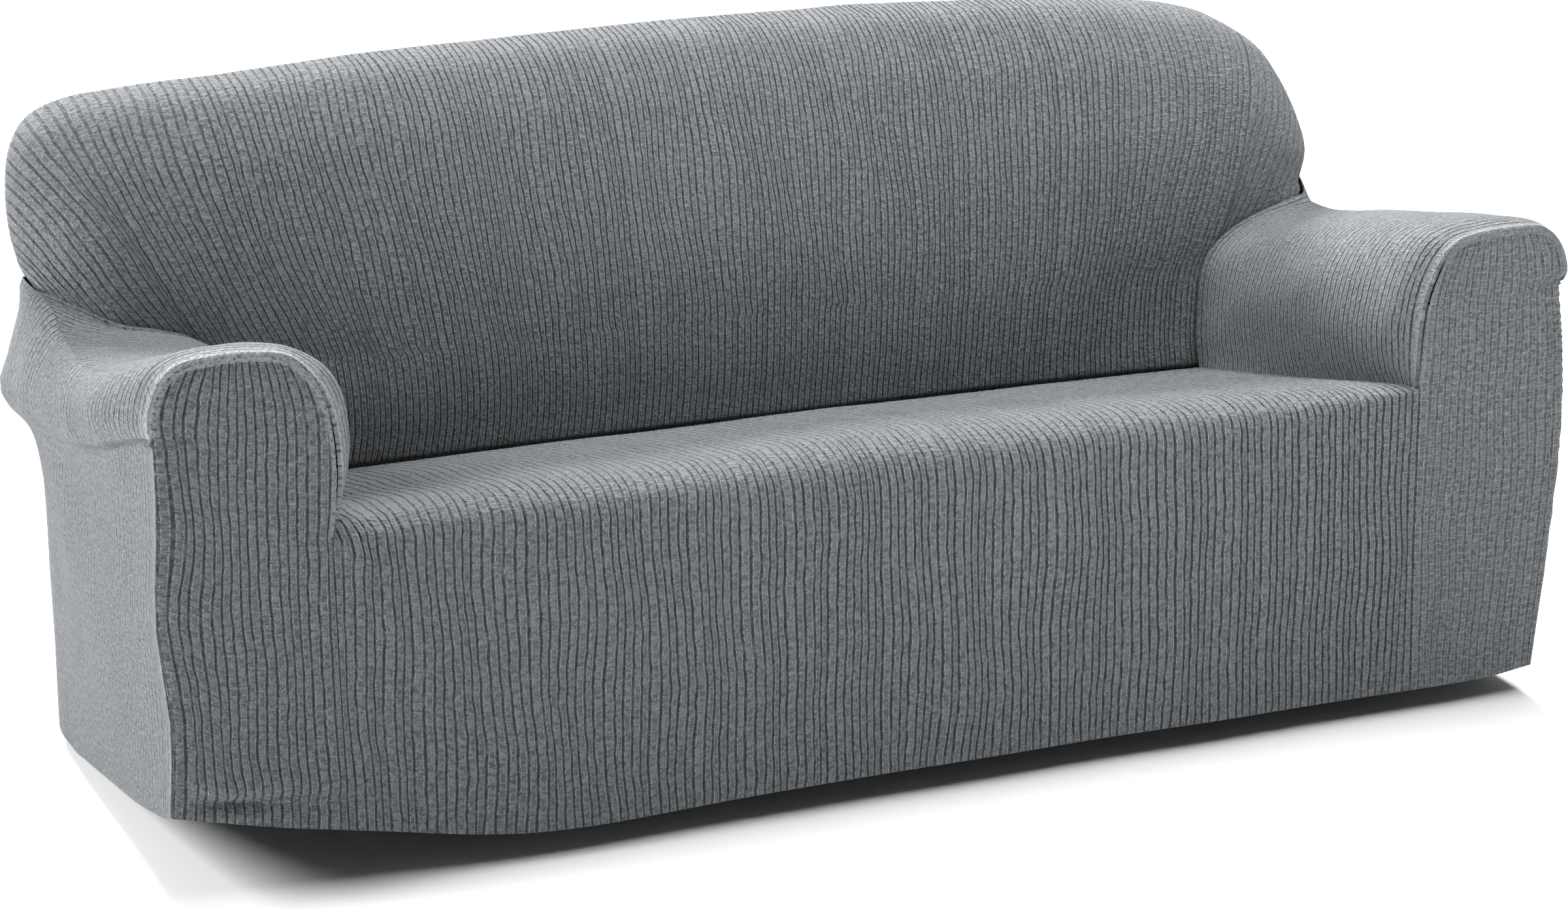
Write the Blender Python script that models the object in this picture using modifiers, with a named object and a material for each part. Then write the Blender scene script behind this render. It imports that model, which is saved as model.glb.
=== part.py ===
"""Fitted stretch cover for a three-seat sofa: five cut and sewn pieces of ribbed cloth, open below.
Metres, X along the seat, front towards -Y, the lowest point of the hem at z = 0."""

import bmesh
import bpy
import numpy as np

# ---------------------------------------------------------------- named sizes
THICK = 0.0025  # cloth with its ribs
GAP = 0.0004  # between neighbouring pieces at a seam
ORIGIN = np.array([-0.0044, 0.4170, 0.0200])  # tables count x and y from the seat's front, z from the feet
DEPTH = 0.84
CREASE_Y = 0.61  # where the back cloth meets the seat and the arms
WING_TURN = 0.06  # how far the crease turns back at the end of a wing
NECK = 10  # row of the arm tables where the wing ends and the rear of the arm begins
SHOULDER = 4  # row of the arm tables level with the lower edge of the wing
SEAM_LIP = 0.003  # folded seam allowance round the front of an arm
BACK_ROUND = 0.11  # radius of the edge of the back
REAR_INSET = 0.026

ARM_Y = np.array([0.0, 0.05, 0.30, 0.53, 0.61, 0.74, 0.84])

# rows: around the arm from the seat, over the roll, down the outer side to the hem
# columns: x, z at each station of ARM_Y
ARM_LEFT = np.array([
    # y 0.00        0.05          0.30          0.53          0.61          0.74          0.84
    [0.771, 0.456, 0.770, 0.466, 0.766, 0.425, 0.765, 0.388, 0.765, 0.375, 0.765, 0.355, 0.765, 0.340],
    [0.763, 0.494, 0.750, 0.492, 0.750, 0.460, 0.755, 0.430, 0.757, 0.420, 0.757, 0.400, 0.757, 0.385],
    [0.758, 0.539, 0.733, 0.540, 0.740, 0.505, 0.753, 0.475, 0.757, 0.465, 0.757, 0.445, 0.757, 0.430],
    [0.760, 0.590, 0.733, 0.592, 0.742, 0.550, 0.755, 0.517, 0.760, 0.505, 0.760, 0.485, 0.760, 0.470],
    [0.768, 0.628, 0.743, 0.635, 0.756, 0.590, 0.765, 0.553, 0.767, 0.540, 0.767, 0.520, 0.767, 0.505],
    [0.782, 0.658, 0.765, 0.668, 0.780, 0.610, 0.782, 0.578, 0.782, 0.566, 0.782, 0.546, 0.782, 0.531],
    [0.812, 0.688, 0.806, 0.691, 0.816, 0.623, 0.810, 0.596, 0.808, 0.584, 0.808, 0.570, 0.808, 0.558],
    [0.862, 0.697, 0.862, 0.699, 0.867, 0.630, 0.855, 0.608, 0.850, 0.597, 0.850, 0.588, 0.850, 0.583],
    [0.905, 0.696, 0.912, 0.699, 0.920, 0.632, 0.905, 0.614, 0.898, 0.609, 0.895, 0.610, 0.890, 0.610],
    [0.938, 0.691, 0.948, 0.692, 0.962, 0.633, 0.950, 0.622, 0.950, 0.631, 0.951, 0.638, 0.930, 0.636],
    [0.958, 0.677, 0.972, 0.678, 0.992, 0.628, 0.986, 0.624, 0.996, 0.656, 1.000, 0.658, 0.965, 0.656],
    [0.971, 0.655, 0.987, 0.653, 1.012, 0.606, 1.010, 0.603, 1.010, 0.618, 1.003, 0.612, 0.974, 0.606],
    [0.978, 0.630, 0.992, 0.623, 1.022, 0.572, 1.029, 0.562, 1.031, 0.560, 1.026, 0.558, 0.992, 0.556],
    [0.977, 0.612, 0.988, 0.601, 1.012, 0.540, 1.030, 0.520, 1.038, 0.512, 1.038, 0.512, 1.002, 0.510],
    [0.974, 0.598, 0.978, 0.588, 0.992, 0.522, 1.002, 0.480, 1.004, 0.466, 0.999, 0.450, 0.966, 0.446],
    [0.977, 0.499, 0.979, 0.490, 0.992, 0.440, 0.998, 0.395, 0.998, 0.380, 0.992, 0.360, 0.958, 0.360],
    [0.986, 0.380, 0.987, 0.375, 0.998, 0.330, 0.999, 0.293, 0.998, 0.280, 0.992, 0.260, 0.958, 0.260],
    [0.977, 0.250, 0.981, 0.245, 0.996, 0.205, 0.999, 0.175, 0.998, 0.165, 0.994, 0.140, 0.960, 0.140],
    [0.985, 0.138, 0.987, 0.122, 0.992, 0.070, 0.996, 0.036, 0.998, 0.024, 0.998, 0.020, 0.960, 0.030],
]).reshape(19, 7, 2)
ARM_RIGHT = np.array([
    [0.757, 0.474, 0.758, 0.471, 0.762, 0.425, 0.764, 0.388, 0.765, 0.375, 0.765, 0.355, 0.765, 0.340],
    [0.757, 0.505, 0.747, 0.500, 0.752, 0.462, 0.757, 0.431, 0.759, 0.420, 0.759, 0.400, 0.759, 0.385],
    [0.760, 0.548, 0.742, 0.548, 0.744, 0.510, 0.756, 0.477, 0.760, 0.465, 0.760, 0.445, 0.760, 0.430],
    [0.766, 0.590, 0.748, 0.592, 0.748, 0.557, 0.759, 0.520, 0.763, 0.507, 0.763, 0.487, 0.763, 0.472],
    [0.780, 0.628, 0.764, 0.632, 0.762, 0.598, 0.770, 0.555, 0.772, 0.542, 0.772, 0.522, 0.772, 0.507],
    [0.800, 0.660, 0.788, 0.665, 0.785, 0.630, 0.791, 0.580, 0.792, 0.568, 0.792, 0.550, 0.792, 0.534],
    [0.826, 0.676, 0.820, 0.680, 0.820, 0.648, 0.820, 0.598, 0.820, 0.586, 0.820, 0.574, 0.820, 0.562],
    [0.873, 0.682, 0.872, 0.686, 0.868, 0.657, 0.864, 0.613, 0.862, 0.603, 0.862, 0.596, 0.862, 0.590],
    [0.918, 0.683, 0.922, 0.687, 0.920, 0.656, 0.908, 0.619, 0.906, 0.615, 0.904, 0.616, 0.896, 0.614],
    [0.948, 0.680, 0.956, 0.682, 0.960, 0.649, 0.945, 0.617, 0.940, 0.620, 0.943, 0.634, 0.928, 0.634],
    [0.969, 0.666, 0.981, 0.669, 0.990, 0.635, 0.974, 0.602, 0.957, 0.609, 0.974, 0.666, 0.950, 0.660],
    [0.983, 0.645, 0.996, 0.645, 1.010, 0.610, 0.998, 0.585, 0.984, 0.582, 0.990, 0.612, 0.964, 0.608],
    [0.990, 0.620, 1.000, 0.618, 1.018, 0.574, 1.019, 0.555, 1.020, 0.554, 1.019, 0.556, 0.988, 0.554],
    [0.986, 0.608, 0.994, 0.600, 1.010, 0.542, 1.025, 0.519, 1.030, 0.512, 1.032, 0.510, 0.998, 0.510],
    [0.977, 0.594, 0.981, 0.584, 0.992, 0.524, 1.001, 0.481, 1.004, 0.466, 1.002, 0.450, 0.968, 0.446],
    [0.987, 0.510, 0.988, 0.500, 0.994, 0.440, 0.997, 0.395, 0.998, 0.380, 0.994, 0.360, 0.960, 0.360],
    [0.992, 0.400, 0.992, 0.390, 0.996, 0.330, 0.997, 0.293, 0.998, 0.280, 0.994, 0.260, 0.960, 0.260],
    [0.982, 0.250, 0.984, 0.245, 0.993, 0.205, 0.995, 0.175, 0.996, 0.165, 0.994, 0.140, 0.960, 0.140],
    [0.958, 0.046, 0.966, 0.044, 0.980, 0.030, 0.986, 0.026, 0.988, 0.024, 0.988, 0.020, 0.955, 0.030],
]).reshape(19, 7, 2)

# columns: x, z of the widest outline of the back, from the left neck over the top to the right neck
BACK_OUTLINE = np.array([
    [-1.004, 0.684],
    [-1.009, 0.722],
    [-1.009, 0.775],
    [-1.000, 0.832],
    [-0.973, 0.876],
    [-0.923, 0.899],
    [-0.855, 0.908],
    [-0.712, 0.915],
    [-0.382, 0.935],
    [0.000, 0.946],
    [0.314, 0.947],
    [0.648, 0.933],
    [0.810, 0.911],
    [0.874, 0.886],
    [0.923, 0.850],
    [0.957, 0.797],
    [0.979, 0.738],
    [0.986, 0.696],
    [0.980, 0.668],
])
LEFT_CORNER, RIGHT_CORNER = 4, 14  # rows of the outline where its top begins and ends

# columns: z, y of the front of the back
BACK_FACE = np.array([
    [0.37, 0.606],
    [0.45, 0.592],
    [0.55, 0.590],
    [0.65, 0.600],
    [0.75, 0.620],
    [0.85, 0.648],
    [0.95, 0.672],
])

# columns: y, z of the seat in its middle, then y of the same point beside an arm
SEAT = np.array([
    [-0.010, 0.440, 0.000],
    [-0.002, 0.462, 0.007],
    [0.018, 0.476, 0.020],
    [0.050, 0.483, 0.045],
    [0.100, 0.482, 0.100],
    [0.200, 0.466, 0.200],
    [0.330, 0.443, 0.330],
    [0.450, 0.419, 0.450],
    [0.550, 0.395, 0.550],
    [CREASE_Y - GAP, 0.378, CREASE_Y - GAP],
])

# rows of SEAT where the mesh has points
SEAT_ROWS = np.array([0, 0.5, 1, 1.5, 2, 3, 4, 4.5, 5, 5.5, 6, 6.5, 7, 8, 9])
INNER_ROWS = np.linspace(0, SHOULDER, 8)  # rows of the arm tables beside the back
WING_ROWS = np.array([4, 4.7, 5.4, 6.1, 6.8, 7.6, 8.4, 9.2, 10.0])  # the same below a wing

# columns: x, z of the front hem, which rides up at the left corner
HEM = np.array([
    [-0.990, 0.138],
    [-0.870, 0.108],
    [-0.741, 0.080],
    [-0.579, 0.048],
    [-0.446, 0.039],
    [-0.193, 0.043],
    [0.244, 0.042],
    [0.715, 0.038],
    [0.880, 0.038],
    [0.960, 0.046],
])

# columns: x, z, half width, push towards the front, for the soft folds of the front
FOLDS = (
    (((-0.985, 0.168), (-0.930, 0.156), (-0.865, 0.155), (-0.800, 0.146)), 0.011, 0.007),
    (((-0.985, 0.140), (-0.915, 0.141), (-0.815, 0.124)), 0.010, -0.004),
    (((-0.768, 0.450), (-0.745, 0.436), (-0.713, 0.422), (-0.675, 0.402)), 0.009, 0.006),
    (((-0.760, 0.468), (-0.735, 0.456), (-0.700, 0.444), (-0.660, 0.430)), 0.009, -0.004),
)


# ---------------------------------------------------------------- curves and patches
def weights(knots, at):
    """Weights of a smooth curve through the knots, one row for each place asked for."""
    knots = np.asarray(knots, float)
    at = np.clip(np.atleast_1d(np.asarray(at, float)), knots[0], knots[-1])
    n = len(knots)
    slope = np.zeros((n, n))
    for i in range(n):
        a, b = max(i - 1, 0), min(i + 1, n - 1)
        slope[i, b] += 1 / (knots[b] - knots[a])
        slope[i, a] -= 1 / (knots[b] - knots[a])
    k = np.clip(np.searchsorted(knots, at, side="right") - 1, 0, n - 2)
    h = knots[k + 1] - knots[k]
    t = (at - knots[k]) / h
    rows = np.arange(len(at))
    out = np.zeros((len(at), n))
    out[rows, k] += 2 * t**3 - 3 * t**2 + 1
    out[rows, k + 1] += -2 * t**3 + 3 * t**2
    out += (h * (t**3 - 2 * t**2 + t))[:, None] * slope[k]
    out += (h * (t**3 - t**2))[:, None] * slope[k + 1]
    return out


def along(table, at):
    """A curve by row number through a table."""
    return weights(np.arange(len(table)), at) @ np.asarray(table, float)


def read(table, at):
    """The second column of a table as a smooth function of the first."""
    at = np.asarray(at, float)
    return (weights(table[:, 0], at.ravel()) @ table[:, 1]).reshape(at.shape)


def arm_xz(table, row, y):
    row, y = np.broadcast_arrays(np.asarray(row, float), np.asarray(y, float))
    by_row = weights(np.arange(len(table)), row.ravel())
    by_y = weights(ARM_Y, y.ravel())
    found = np.einsum("pi,pj,ijk->pk", by_row, by_y, table)
    return found.reshape(row.shape + (2,))


def crease_y(row):
    """How far back the arm cloth reaches: it turns back round the end of the wing."""
    t = np.clip((np.asarray(row, float) - (NECK - 2.5)) / 2.5, 0, 1)
    return CREASE_Y + WING_TURN * (1 - np.sqrt(np.clip(1 - t**2, 0, 1)))


def coons(bottom, top, left, right):
    """A patch between four edges that share their corners."""
    u = np.linspace(0, 1, len(bottom))[:, None, None]
    v = np.linspace(0, 1, len(left))[None, :, None]
    rail = (1 - v) * bottom[:, None] + v * top[:, None]
    rung = (1 - u) * left[None] + u * right[None]
    corners = (1 - u) * ((1 - v) * bottom[0] + v * top[0]) + u * ((1 - v) * bottom[-1] + v * top[-1])
    return rail + rung - corners


def evened(curve, count):
    """The same curve with its points spread evenly along it."""
    steps = np.linalg.norm(np.diff(curve, axis=0), axis=1)
    run = np.concatenate([[0], np.cumsum(steps)])
    at = np.linspace(0, run[-1], count)
    return np.stack([np.interp(at, run, curve[:, k]) for k in range(curve.shape[1])], axis=1)


def outset(curve, by, turn):
    """An x, z curve pushed sideways, by a length at each point."""
    tangent = np.gradient(curve, axis=0)
    tangent /= np.linalg.norm(tangent, axis=1)[:, None]
    normal = np.stack([tangent[:, 1], -tangent[:, 0]], axis=1) * turn
    return curve + normal * np.asarray(by)[:, None]


def path_distance(x, z, path):
    """Distance to a broken line and how far along it, from 0 to 1."""
    best = np.full(x.shape, 9.0)
    where = np.zeros(x.shape)
    points = np.array(path)
    for i in range(len(points) - 1):
        a, b = points[i], points[i + 1]
        d = b - a
        t = np.clip(((x - a[0]) * d[0] + (z - a[1]) * d[1]) / (d @ d), 0, 1)
        away = np.hypot(x - a[0] - t * d[0], z - a[1] - t * d[1])
        near = away < best
        best = np.where(near, away, best)
        where = np.where(near, (i + t) / (len(points) - 1), where)
    return best, where


def folded(points):
    """The soft folds and pulls of the front face, as a push towards -Y."""
    x, z = points[..., 0], points[..., 2]
    push = np.zeros(x.shape)
    for path, half, height in FOLDS:
        away, where = path_distance(x, z, path)
        push += height * np.exp(-((away / half) ** 2)) * np.clip(1.15 * (1 - where), 0, 1)
    face = np.clip((0.03 - points[..., 1]) / 0.03, 0, 1)
    face *= np.clip((0.968 - np.abs(x)) / 0.05, 0, 1)
    lobe = np.clip((z - 0.40) / 0.05, 0, 1) * np.clip((np.abs(x) - 0.735) / 0.02, 0, 1)
    rim = np.clip((0.685 - z) / 0.05, 0, 1) * np.clip((np.abs(x) - 0.785) / 0.04, 0, 1)
    face *= 1 - lobe * (1 - rim)
    push += 0.0016 * np.sin(17.0 * x + 5.0 * z) * np.sin(9.0 * z + 3.1 * x)
    out = points.copy()
    out[..., 1] -= push * face
    return out


# ---------------------------------------------------------------- the pieces
def arm_edge(table, side, rows, lip):
    """The outline of an arm's front as x, z, with its seam allowance."""
    curve = arm_xz(table, rows, np.zeros(len(rows)))
    along_seam = np.clip(np.minimum(rows / 1.5, (16.5 - rows) / 2.0), 0, 1)
    curve = outset(curve, 0.001 * np.clip(rows, 0, 1) + (lip - 0.001) * along_seam, 1.0 if lip else 0.0)
    curve[:, 0] *= side
    return curve


def front_and_seat(n_lobe, n_mid, n_low, n_up, rows):
    """The apron, both arm fronts and the seat: one cloth with a slit at each seat corner."""
    patches = []
    slit = {}
    for side, table in ((-1, ARM_LEFT), (1, ARM_RIGHT)):
        outer_low = arm_edge(table, side, np.linspace(18, 15, n_low), SEAM_LIP)
        outer_up = evened(arm_edge(table, side, np.linspace(15, 9, 60), SEAM_LIP), n_up)
        inner_up = evened(arm_edge(table, side, np.linspace(0, 5.5, 60), SEAM_LIP), n_up)
        top = evened(arm_edge(table, side, np.linspace(9, 5.5, 60), SEAM_LIP), n_lobe)
        outer_up[0] = outer_low[-1]
        top[0], top[-1] = outer_up[-1], inner_up[-1]
        corner = inner_up[0]
        level = np.linspace(outer_low[-1], corner, n_lobe)
        foot_x = np.linspace(outer_low[0, 0], corner[0], n_lobe)
        foot = np.stack([foot_x, read(HEM, foot_x)], axis=1)
        outer_low[0] = foot[0]
        inner_low = np.stack([np.full(n_low, corner[0]), np.linspace(foot[-1, 1], corner[1], n_low)], axis=1)
        low = coons(foot, level, outer_low, inner_low)
        up = coons(level, top, outer_up, inner_up)
        for flat in (low, up):
            patch = np.stack([flat[..., 0], np.zeros(flat.shape[:2]), flat[..., 1]], axis=2)
            patches.append(folded(patch) if side < 0 else folded(patch)[::-1])
        slit[side] = (corner, inner_low)
    n_seat = len(rows)
    mid = along(SEAT, rows)
    u = np.linspace(0, 1, n_mid)
    crown = (1 - np.abs(2 * u - 1) ** 3)[:, None]
    edges = {}
    for side, table in ((-1, ARM_LEFT), (1, ARM_RIGHT)):
        y = mid[:, 2].copy()
        y[0] = 0.0
        xz = arm_xz(table, np.zeros(n_seat), y)
        x = side * (xz[:, 0] - GAP * np.clip(y / 0.01, 0, 1))
        edges[side] = np.stack([x, y, xz[:, 1]], axis=1)
        edges[side][0] = [slit[side][0][0], 0.0, slit[side][0][1]]
    blend = u[:, None, None]
    side_line = (1 - blend) * edges[-1][None] + blend * edges[1][None]
    seat = side_line.copy()
    seat[..., 1] = side_line[..., 1] * (1 - crown) + mid[None, :, 0] * crown
    seat[..., 2] = side_line[..., 2] * (1 - crown) + mid[None, :, 1] * crown
    sag = np.sin(np.pi * np.clip(rows / rows[-1], 0, 1))[None]
    seat[..., 2] += 0.002 * sag * np.sin(9.0 * seat[..., 0] + 1.0) * crown
    top_row = seat[:, 0]
    t = np.linspace(0, 1, n_low)[None, :]
    foot_z = read(HEM, top_row[:, 0])[:, None]
    apron = np.empty((n_mid, n_low, 3))
    apron[..., 0] = top_row[:, 0][:, None]
    apron[..., 1] = top_row[:, 1][:, None] * np.sin(0.5 * np.pi * t) - 0.005 * crown * np.sin(np.pi * t)
    apron[..., 2] = foot_z + (top_row[:, 2][:, None] - foot_z) * t
    patches.append(folded(apron))
    seat = folded(seat)
    seat[:, 0] = patches[-1][:, -1]
    patches.append(seat)
    return patches


def rear_steps(count):
    """How the mesh behind the widest line is spaced: inset and depth, both from 0 to 1."""
    w = np.linspace(0, 1.25, count)
    return (1 - np.cos(w)) / (1 - np.cos(1.25)), np.sin(w) / np.sin(1.25)


def arm(table, side, seat_rows, inner_rows, n_out, n_rear):
    """Inner face, roll and outer side of an arm: one cloth, longer behind the wing."""
    start = THICK + 0.0006
    stop = DEPTH - THICK - 0.0005
    steps = along(SEAT, seat_rows)[:, 2]
    steps = np.concatenate([[start], steps[(steps > 0.01) & (steps < CREASE_Y - 0.02)], [CREASE_Y - GAP]])
    t = (steps - start) / (CREASE_Y - GAP - start)
    patches = []
    reach = crease_y(inner_rows) - GAP
    y = start + (reach[:, None] - start) * t[None]
    grids = [(np.repeat(inner_rows[:, None], len(t), axis=1), y)]
    rows = np.linspace(NECK, 18, n_out)
    y = start + (reach[-1] - start) * np.repeat(t[None], n_out, axis=0)
    grids.append((np.repeat(rows[:, None], len(t), axis=1), y))
    rear = reach[-1] + (stop - reach[-1]) * rear_steps(n_rear)[1]
    grids.append((np.repeat(rows[:, None], n_rear, axis=1), np.repeat(rear[None], n_out, axis=0)))
    for row, y in grids:
        xz = arm_xz(table, row, y)
        lift = GAP * np.clip(1 - row / 0.3, 0, 1)
        puff = 0.002 * np.sin(2.1 * row + 14 * y) * np.sin(np.pi * np.clip(y / DEPTH, 0, 1))
        puff *= np.clip(row / 2, 0, 1) * np.clip((crease_y(row) - y + 1.0 * (row > NECK)) / 0.1, 0, 1)
        puff *= np.clip(np.abs(row - NECK) / 1.5, 0, 1)
        points = np.stack([side * (xz[..., 0] + puff), y, xz[..., 1] + lift], axis=2)
        patches.append(points[::-1] if side < 0 else points)
    return patches


def back_edge(count):
    """The widest line of the back, from the left neck to the right neck: left end, top, right end."""
    left = along(BACK_OUTLINE, np.linspace(0, LEFT_CORNER, 80))
    top = along(BACK_OUTLINE, np.linspace(LEFT_CORNER, RIGHT_CORNER, 200))
    right = along(BACK_OUTLINE, np.linspace(RIGHT_CORNER, len(BACK_OUTLINE) - 1, 80))[::-1]
    ends = []
    for side, table, line in ((-1, ARM_LEFT, left), (1, ARM_RIGHT, right)):
        foot = arm_xz(table, [NECK], crease_y([NECK]))[0] * [side, 1]
        foot[1] += GAP
        ends.append(evened(np.concatenate([foot[None], line]), count[0]))
    return ends[0], evened(top, count[1]), ends[1]


def inner_back(inner_rows, wing_rows, n_mid, n_up, n_wrap):
    n_wing, n_low = len(wing_rows), len(inner_rows)
    n_all = 2 * n_wing + n_mid - 2
    left, top, right = back_edge((n_up, n_all))
    bottom = []
    for side, table in ((-1, ARM_LEFT), (1, ARM_RIGHT)):
        rows = wing_rows[::-1]
        edge = arm_xz(table, rows, crease_y(rows)) * [side, 1]
        edge[:, 1] += GAP
        bottom.append(np.concatenate([edge, crease_y(rows)[:, None]], axis=1))
    between = np.linspace(bottom[0][-1], bottom[1][-1], n_mid)
    rim = np.concatenate([bottom[0], between[1:-1], bottom[1][::-1]])
    flat = coons(rim[:, :2], top, left, right)
    x, z = flat[..., 0], flat[..., 1]
    edge_line = np.concatenate([left, top[1:], right[::-1][1:]])
    far, _ = path_distance(x, z, edge_line[:: max(1, len(edge_line) // 90)])
    far[0], far[-1] = 0, 0
    far[:, -1] = 0
    turn = 1 - np.clip(far / BACK_ROUND, 0, 1)
    y = read(BACK_FACE, z) + BACK_ROUND * (1 - np.sqrt(np.clip(1 - turn**2, 0, 1)))
    fade = (1 - np.linspace(0, 1, n_up)) ** 5
    y += (rim[:, 2] - y[:, 0])[:, None] * fade[None]
    y += 0.002 * np.sin(7.0 * x + 2.0 * z) * np.sin(8.0 * z) * np.clip(far / 0.1, 0, 1)
    face = np.stack([x, y, z], axis=2)
    middle = slice(n_wing - 1, n_wing - 1 + n_mid)
    # between the arms, from the seat up to the lower edge of the wings
    sides = []
    for side, table in ((-1, ARM_LEFT), (1, ARM_RIGHT)):
        xz = arm_xz(table, inner_rows, np.full(n_low, CREASE_Y))
        sides.append(np.stack([side * (xz[:, 0] - GAP), xz[:, 1]], axis=1))
    u = np.linspace(0, 1, n_mid)
    crown = 1 - np.abs(2 * u - 1) ** 3
    foot = np.stack([np.linspace(sides[0][0, 0], sides[1][0, 0], n_mid), np.zeros(n_mid)], axis=1)
    foot[:, 1] = np.linspace(sides[0][0, 1], sides[1][0, 1], n_mid) * (1 - crown) + SEAT[-1, 1] * crown + GAP
    sides[0][0], sides[1][0] = foot[0], foot[-1]
    head = face[middle, 0][:, [0, 2]]
    sides[0][-1], sides[1][-1] = head[0], head[-1]
    low_flat = coons(foot, head, sides[0], sides[1])
    v = np.linspace(0, 1, n_low)[None]
    near = np.clip(np.minimum(u, 1 - u) / 0.2, 0, 1)
    pillow = (near**2 * (3 - 2 * near))[:, None] * (1 - (1 - v) ** 3)
    low_y = CREASE_Y + (read(BACK_FACE, low_flat[..., 1]) - CREASE_Y) * pillow
    step = low_y[:, -1] - face[middle, 0, 1]
    face[middle, :, 1] += step[:, None] * (1 - np.linspace(0, 1, n_up))[None] ** 3
    low = np.stack([low_flat[..., 0], low_y, low_flat[..., 1]], axis=2)
    low[:, -1] = face[middle, 0]
    # round the edge to the seam behind
    loop = np.concatenate([face[0], face[1:, -1], face[-1, ::-1][1:]])
    seam = rear_seam(loop[:, [0, 2]])
    inset, back = rear_steps(n_wrap)
    stop = DEPTH - THICK - 0.0005
    wrap = np.empty((len(loop), n_wrap, 3))
    wrap[..., 0] = loop[:, :1] + (seam[:, :1] - loop[:, :1]) * inset
    wrap[..., 1] = loop[:, 1:2] + (stop - loop[:, 1:2]) * back
    wrap[..., 2] = loop[:, 2:] + (seam[:, 1:] - loop[:, 2:]) * inset
    run = np.concatenate([[0], np.cumsum(np.linalg.norm(np.diff(loop, axis=0), axis=1))])
    for side, table, near in ((-1, ARM_LEFT, run), (1, ARM_RIGHT, run[-1] - run)):
        reach = crease_y([NECK])[0]
        y = reach + (stop - reach) * back
        foot = arm_xz(table, np.full(n_wrap, NECK), y) * [side, 1]
        foot = np.stack([foot[:, 0], y, foot[:, 1] + GAP], axis=1)
        end = 0 if side < 0 else -1
        fade = np.clip(1 - near / 0.06, 0, 1)[:, None, None]
        wrap = wrap + (foot - wrap[end])[None] * fade
    wrap[:, 0] = loop
    return [face, low, wrap]


def rear_seam(loop):
    """The line behind the top where the two back cloths meet, as x, z."""
    seam = outset(loop, np.full(len(loop), REAR_INSET), 1.0)
    run = np.concatenate([[0], np.cumsum(np.linalg.norm(np.diff(loop, axis=0), axis=1))])
    for side, table, near in ((-1, ARM_LEFT, run), (1, ARM_RIGHT, run[-1] - run)):
        foot = arm_xz(table, [NECK], [DEPTH])[0] * [side, 1]
        foot[1] += GAP
        end = 0 if side < 0 else -1
        fade = np.clip(1 - near / 0.05, 0, 1)[:, None]
        seam = seam + (foot - seam[end]) * fade
    return seam


def outer_back(n_x, n_low, n_up, edge_counts):
    """The rear cloth, its edge over the ends of the others."""
    left, top, right = back_edge(edge_counts)
    loop = np.concatenate([left, top[1:], right[::-1][1:]])
    seam = rear_seam(loop)
    seam = outset(seam, np.full(len(seam), 0.001), -1.0)
    first, last = len(left), len(left) + len(top) - 1
    sides = []
    for side, table, part in ((-1, ARM_LEFT, seam[:first]), (1, ARM_RIGHT, seam[last - 1 :][::-1])):
        rows = np.linspace(18, NECK, 120)
        edge = arm_xz(table, rows, np.full(120, DEPTH)) * [side, 1]
        edge[:, 0] += side * 0.001
        sides.append((evened(edge, n_low), evened(np.concatenate([edge[-1:], part[2:]]), n_up)))
    crown = evened(seam[first - 1 : last], n_x)
    crown[0], crown[-1] = sides[0][1][-1], sides[1][1][-1]
    foot = np.linspace(sides[0][0][0], sides[1][0][0], n_x)
    waist = np.linspace(sides[0][0][-1], sides[1][0][-1], n_x)
    waist[:, 1] += 0.03 * (1 - np.abs(np.linspace(-1, 1, n_x)) ** 2)
    sides[0][1][0], sides[1][1][0] = waist[0], waist[-1]
    patches = []
    lower = coons(foot, waist, sides[0][0], sides[1][0])
    upper = coons(waist, crown, sides[0][1], sides[1][1])
    for flat in (lower, upper):
        x, z = flat[..., 0], flat[..., 1]
        swell = np.clip(1 - (np.abs(x) / 0.93) ** 4, 0, 1) * np.clip((0.90 - z) / 0.25, 0, 1)
        y = DEPTH + 0.006 * swell * (1 + 0.3 * np.sin(9 * x + 4 * z))
        patches.append(np.stack([x, y, z], axis=2)[::-1])
    return patches


# ---------------------------------------------------------------- meshes
def cloth(name, patches, colour, collection):
    """One sheet from its patches, thickened inwards."""
    mesh = bmesh.new()
    for patch in patches:
        grid = [[mesh.verts.new(p) for p in line] for line in (patch - ORIGIN).tolist()]
        for i in range(len(grid) - 1):
            for j in range(len(grid[0]) - 1):
                mesh.faces.new((grid[i][j], grid[i + 1][j], grid[i + 1][j + 1], grid[i][j + 1]))
    bmesh.ops.remove_doubles(mesh, verts=mesh.verts, dist=0.00002)
    data = bpy.data.meshes.new(name)
    mesh.to_mesh(data)
    mesh.free()
    data.update()
    material = bpy.data.materials.new(name)
    material.use_nodes = True
    shader = material.node_tree.nodes["Principled BSDF"]
    shader.inputs["Base Color"].default_value = (*colour, 1)
    shader.inputs["Roughness"].default_value = 0.92
    data.materials.append(material)
    made = bpy.data.objects.new(name, data)
    collection.objects.link(made)
    solid = made.modifiers.new("cloth thickness", "SOLIDIFY")
    solid.thickness = THICK
    solid.offset = -1.0
    return made


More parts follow.
